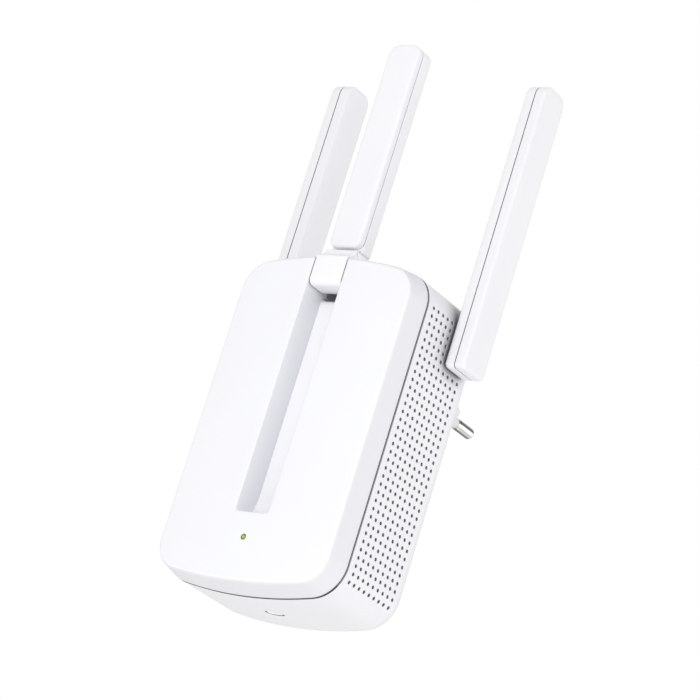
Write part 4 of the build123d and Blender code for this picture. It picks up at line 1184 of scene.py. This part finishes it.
# %% Pins and sleeves
pin_low, pin_high = limits("plug_pin_right")
PIN_X = (pin_low[0] + pin_high[0]) / 2
PIN_END, PIN_RADIUS, PIN_DOME = 19.0, 2.0, 1.5
SLEEVE_END, SLEEVE_RADIUS = 10.0, 1.8
swing = np.linspace(0, np.pi / 2, 7)
dome = [PIN_END - PIN_DOME + PIN_DOME * np.sin(swing), PIN_RADIUS - PIN_DOME + PIN_DOME * np.cos(swing)]
root = [[8.8, 0], [8.8, 1.9], [9.9, 1.9], [SLEEVE_END + 0.02, PIN_RADIUS]]
pin_profile = np.concatenate([root, np.column_stack(dome), [[PIN_END, 0]]])
sleeve_profile = [(-2.0, 0), (-2.0, SLEEVE_RADIUS), (9.8, SLEEVE_RADIUS), (SLEEVE_END, 1.7), (SLEEVE_END, 0)]
kinds = (
    ("pin", pin_profile, pin_nickel, "pin_nickel"),
    ("sleeve", sleeve_profile, sleeve_white, "sleeve_white"),
)
for name, side in (("left", -1), ("right", 1)):
    for kind, profile, finish, slot in kinds:
        solid = placed(turned(profile), (1, 0, 0), (0, 0, -1), (0, 1, 0), (side * PIN_X, 0, 0))
        made = piece(f"{name}_plug_{kind}", *solid, finish)
        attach(made, "body")
        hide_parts(f"plug_pin_{name}" if kind == "pin" else f"pin_sleeve_{name}")

# %% [markdown]
# ## Button and lamp
# The button is a small pill of the same white plastic in a dish in the bottom, so it is found by touch. It
# slides up into the body against its switch.

# %% Button
pill = rounded([(-3, -1.5), (3, -1.5), (3, 1.5), (-3, 1.5)], [1.499] * 4, 10)
cap_height = button_high[2] - button_low[2]
solid = slab(pill, soft(-cap_height, 0, 0.1, 0.3), middle_line(1.4))
solid = placed(solid, (1, 0, 0), (0, -1, 0), (0, 0, -1), (0, BUTTON_Y, button_low[2]))
button = piece("button_top", *solid, painted_light_button)
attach(button, "button")
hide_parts("button_cap")

# %% [markdown]
# The lamp is the end of a light pipe of clear acrylic, tinted by the green lamp behind it. It glows a
# little, most in its middle, and is darker where its wall meets the cover.

# %% Lamp
made, tree, principled, place = material("acrylic_green_lens", IOR=1.49, Emission_Strength=0.3)
LENS_RADIUS = 0.85
to_axis = {"Location": (0, 0, -(LAMP_Z + MIDDLE_Z) * MM), "Scale": (1, 0, 1)}
centre = add(tree, "Mapping", Vector=(place, "Object"), **to_axis)
spread = add(tree, "VectorMath", {"operation": "LENGTH"}, _0=(centre, 0))
glow = add(tree, "MapRange", Value=(spread, "Value"), From_Min=0.25 * MM, From_Max=0.7 * MM)
tone = add(tree, "Mix", MIX_COLOURS, _0=(glow, 0), _6=linear("#A9BE4C"), _7=linear("#567010"))
feed(tree, principled, Base_Color=(tone, 2), Emission_Color=(tone, 2))
swing = np.linspace(0, np.pi / 2, 6)
crown = np.column_stack([1.2 + 0.35 * np.sin(swing), LENS_RADIUS * np.cos(swing)])
lens_profile = np.concatenate([[[0, 0], [0, LENS_RADIUS]], crown])
lens_foot = (0, FACE_Y + 1.6, LAMP_Z + MIDDLE_Z)
solid = placed(turned(lens_profile, 32), (1, 0, 0), (0, 0, 1), (0, -1, 0), lens_foot)
lens = piece("lamp_lens", *solid, made)
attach(lens, "body")
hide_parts("light_pipe")

# %% [markdown]
# ## Pieces inside the box
# The boards and their parts show only as dark shapes behind the vent holes. Their solids are right as they
# are, so each only gets the finish of the real one.

# %% Finishes for the solids inside


def speckled(name, light, dark, rough, size_mm, **shader):
    """Two shades mixed by a noise of a given size, with shine that follows it."""
    made, tree, principled, place = material(name, **shader)
    spots = add(tree, "TexNoise", Vector=(place, "Object"), Scale=1 / (size_mm * MM), Detail=2.0)
    tone = add(tree, "Mix", MIX_COLOURS, _0=(spots, 0), _6=linear(light), _7=linear(dark))
    shine = add(tree, "MapRange", Value=(spots, 0), To_Min=rough - 0.05, To_Max=rough + 0.08)
    bump = add(tree, "Bump", Height=(spots, 0), Strength=0.3, Distance=0.02 * MM)
    feed(tree, principled, Base_Color=(tone, 2), Roughness=(shine, 0), Normal=(bump, 0))
    return made


def woven(name, light, dark, pitch_mm):
    """Glass cloth under solder mask: two sets of fine bands across each other."""
    made, tree, principled, place = material(name, Roughness=0.35, IOR=1.5)
    object_space, bands = (place, "Object"), 1 / (20 * pitch_mm * MM)
    warp = add(tree, "TexWave", {"bands_direction": "X"}, Vector=object_space, Scale=bands)
    weft = add(tree, "TexWave", {"bands_direction": "Z"}, Vector=object_space, Scale=bands)
    cloth = add(tree, "Math", {"operation": "MULTIPLY"}, _0=(warp, "Fac"), _1=(weft, "Fac"))
    tone = add(tree, "Mix", MIX_COLOURS, _0=(cloth, 0), _6=linear(dark), _7=linear(light))
    bump = add(tree, "Bump", Height=(cloth, 0), Strength=0.2, Distance=0.01 * MM)
    feed(tree, principled, Base_Color=(tone, 2), Normal=(bump, 0))
    return made


print("finishes so far:", len(bpy.data.materials))

# %% [markdown]
# Green solder mask, tinned steel, black epoxy, yellow tape: each maker uses the same few materials inside,
# so one line for each is enough, and a table gives them to the solids by name.

# %% Materials of the solids inside
board_green = woven("solder_mask_green_board", "#1E6A3A", "#17552E", 0.5)
antenna_board = woven("copper_clad_antenna_board", "#B98A4A", "#9E7338", 0.5)
tinned = metal("tinned_steel_shield", "#C4C4C2", 0.3, 0.5, (1, 1, 1))
screw_steel = metal("zinc_plated_steel_screw", "#A9ABA9", 0.32, 0.3, (1, 1, 1))
epoxy = speckled("epoxy_black_chip", "#232326", "#1B1B1D", 0.6, 0.4, IOR=1.55)
ferrite = speckled("ferrite_sintered_core", "#3A3A3C", "#2E2E31", 0.7, 0.8)
tape = speckled("polyester_yellow_coil_tape", "#D8B23A", "#C89F2E", 0.35, 3.0)
foil = speckled("pvc_sleeve_capacitor", "#2F3A5C", "#28324F", 0.3, 2.0)
fuse = speckled("lacquered_fuse_body", "#8A5A32", "#754A28", 0.4, 1.0)
nylon = speckled("nylon_black_switch", "#3B3B3D", "#333335", 0.5, 0.6)
led = speckled("led_lens_green", "#9CC545", "#86AE37", 0.25, 0.6, IOR=1.5)
steel = metal("stainless_spring_clip", "#B4B4B2", 0.28, 0.3, (1, 0.2, 1))
finishes = {
    "power_board": board_green, "main_board": board_green, "main_board_screws": screw_steel,
    "power_board_screws": screw_steel, "bulk_capacitors": foil, "output_capacitor": foil,
    "rectifier": epoxy, "mains_fuse": fuse, "board_connector": nylon, "wifi_shield": tinned,
    "wifi_processor": epoxy, "memory_chip": epoxy, "status_led": led, "button_switch": nylon,
    "transformer_core": ferrite, "transformer_coil": tape, "switch_plunger": nylon,
    "centre_antenna_radiator": antenna_board, "left_antenna_radiator": antenna_board,
    "right_antenna_radiator": antenna_board, "left_antenna_clip": steel, "right_antenna_clip": steel,
}
for name, finish in finishes.items():
    nodes[name].data.materials.clear()
    nodes[name].data.materials.append(finish)
print("solids with a new finish:", len(finishes))
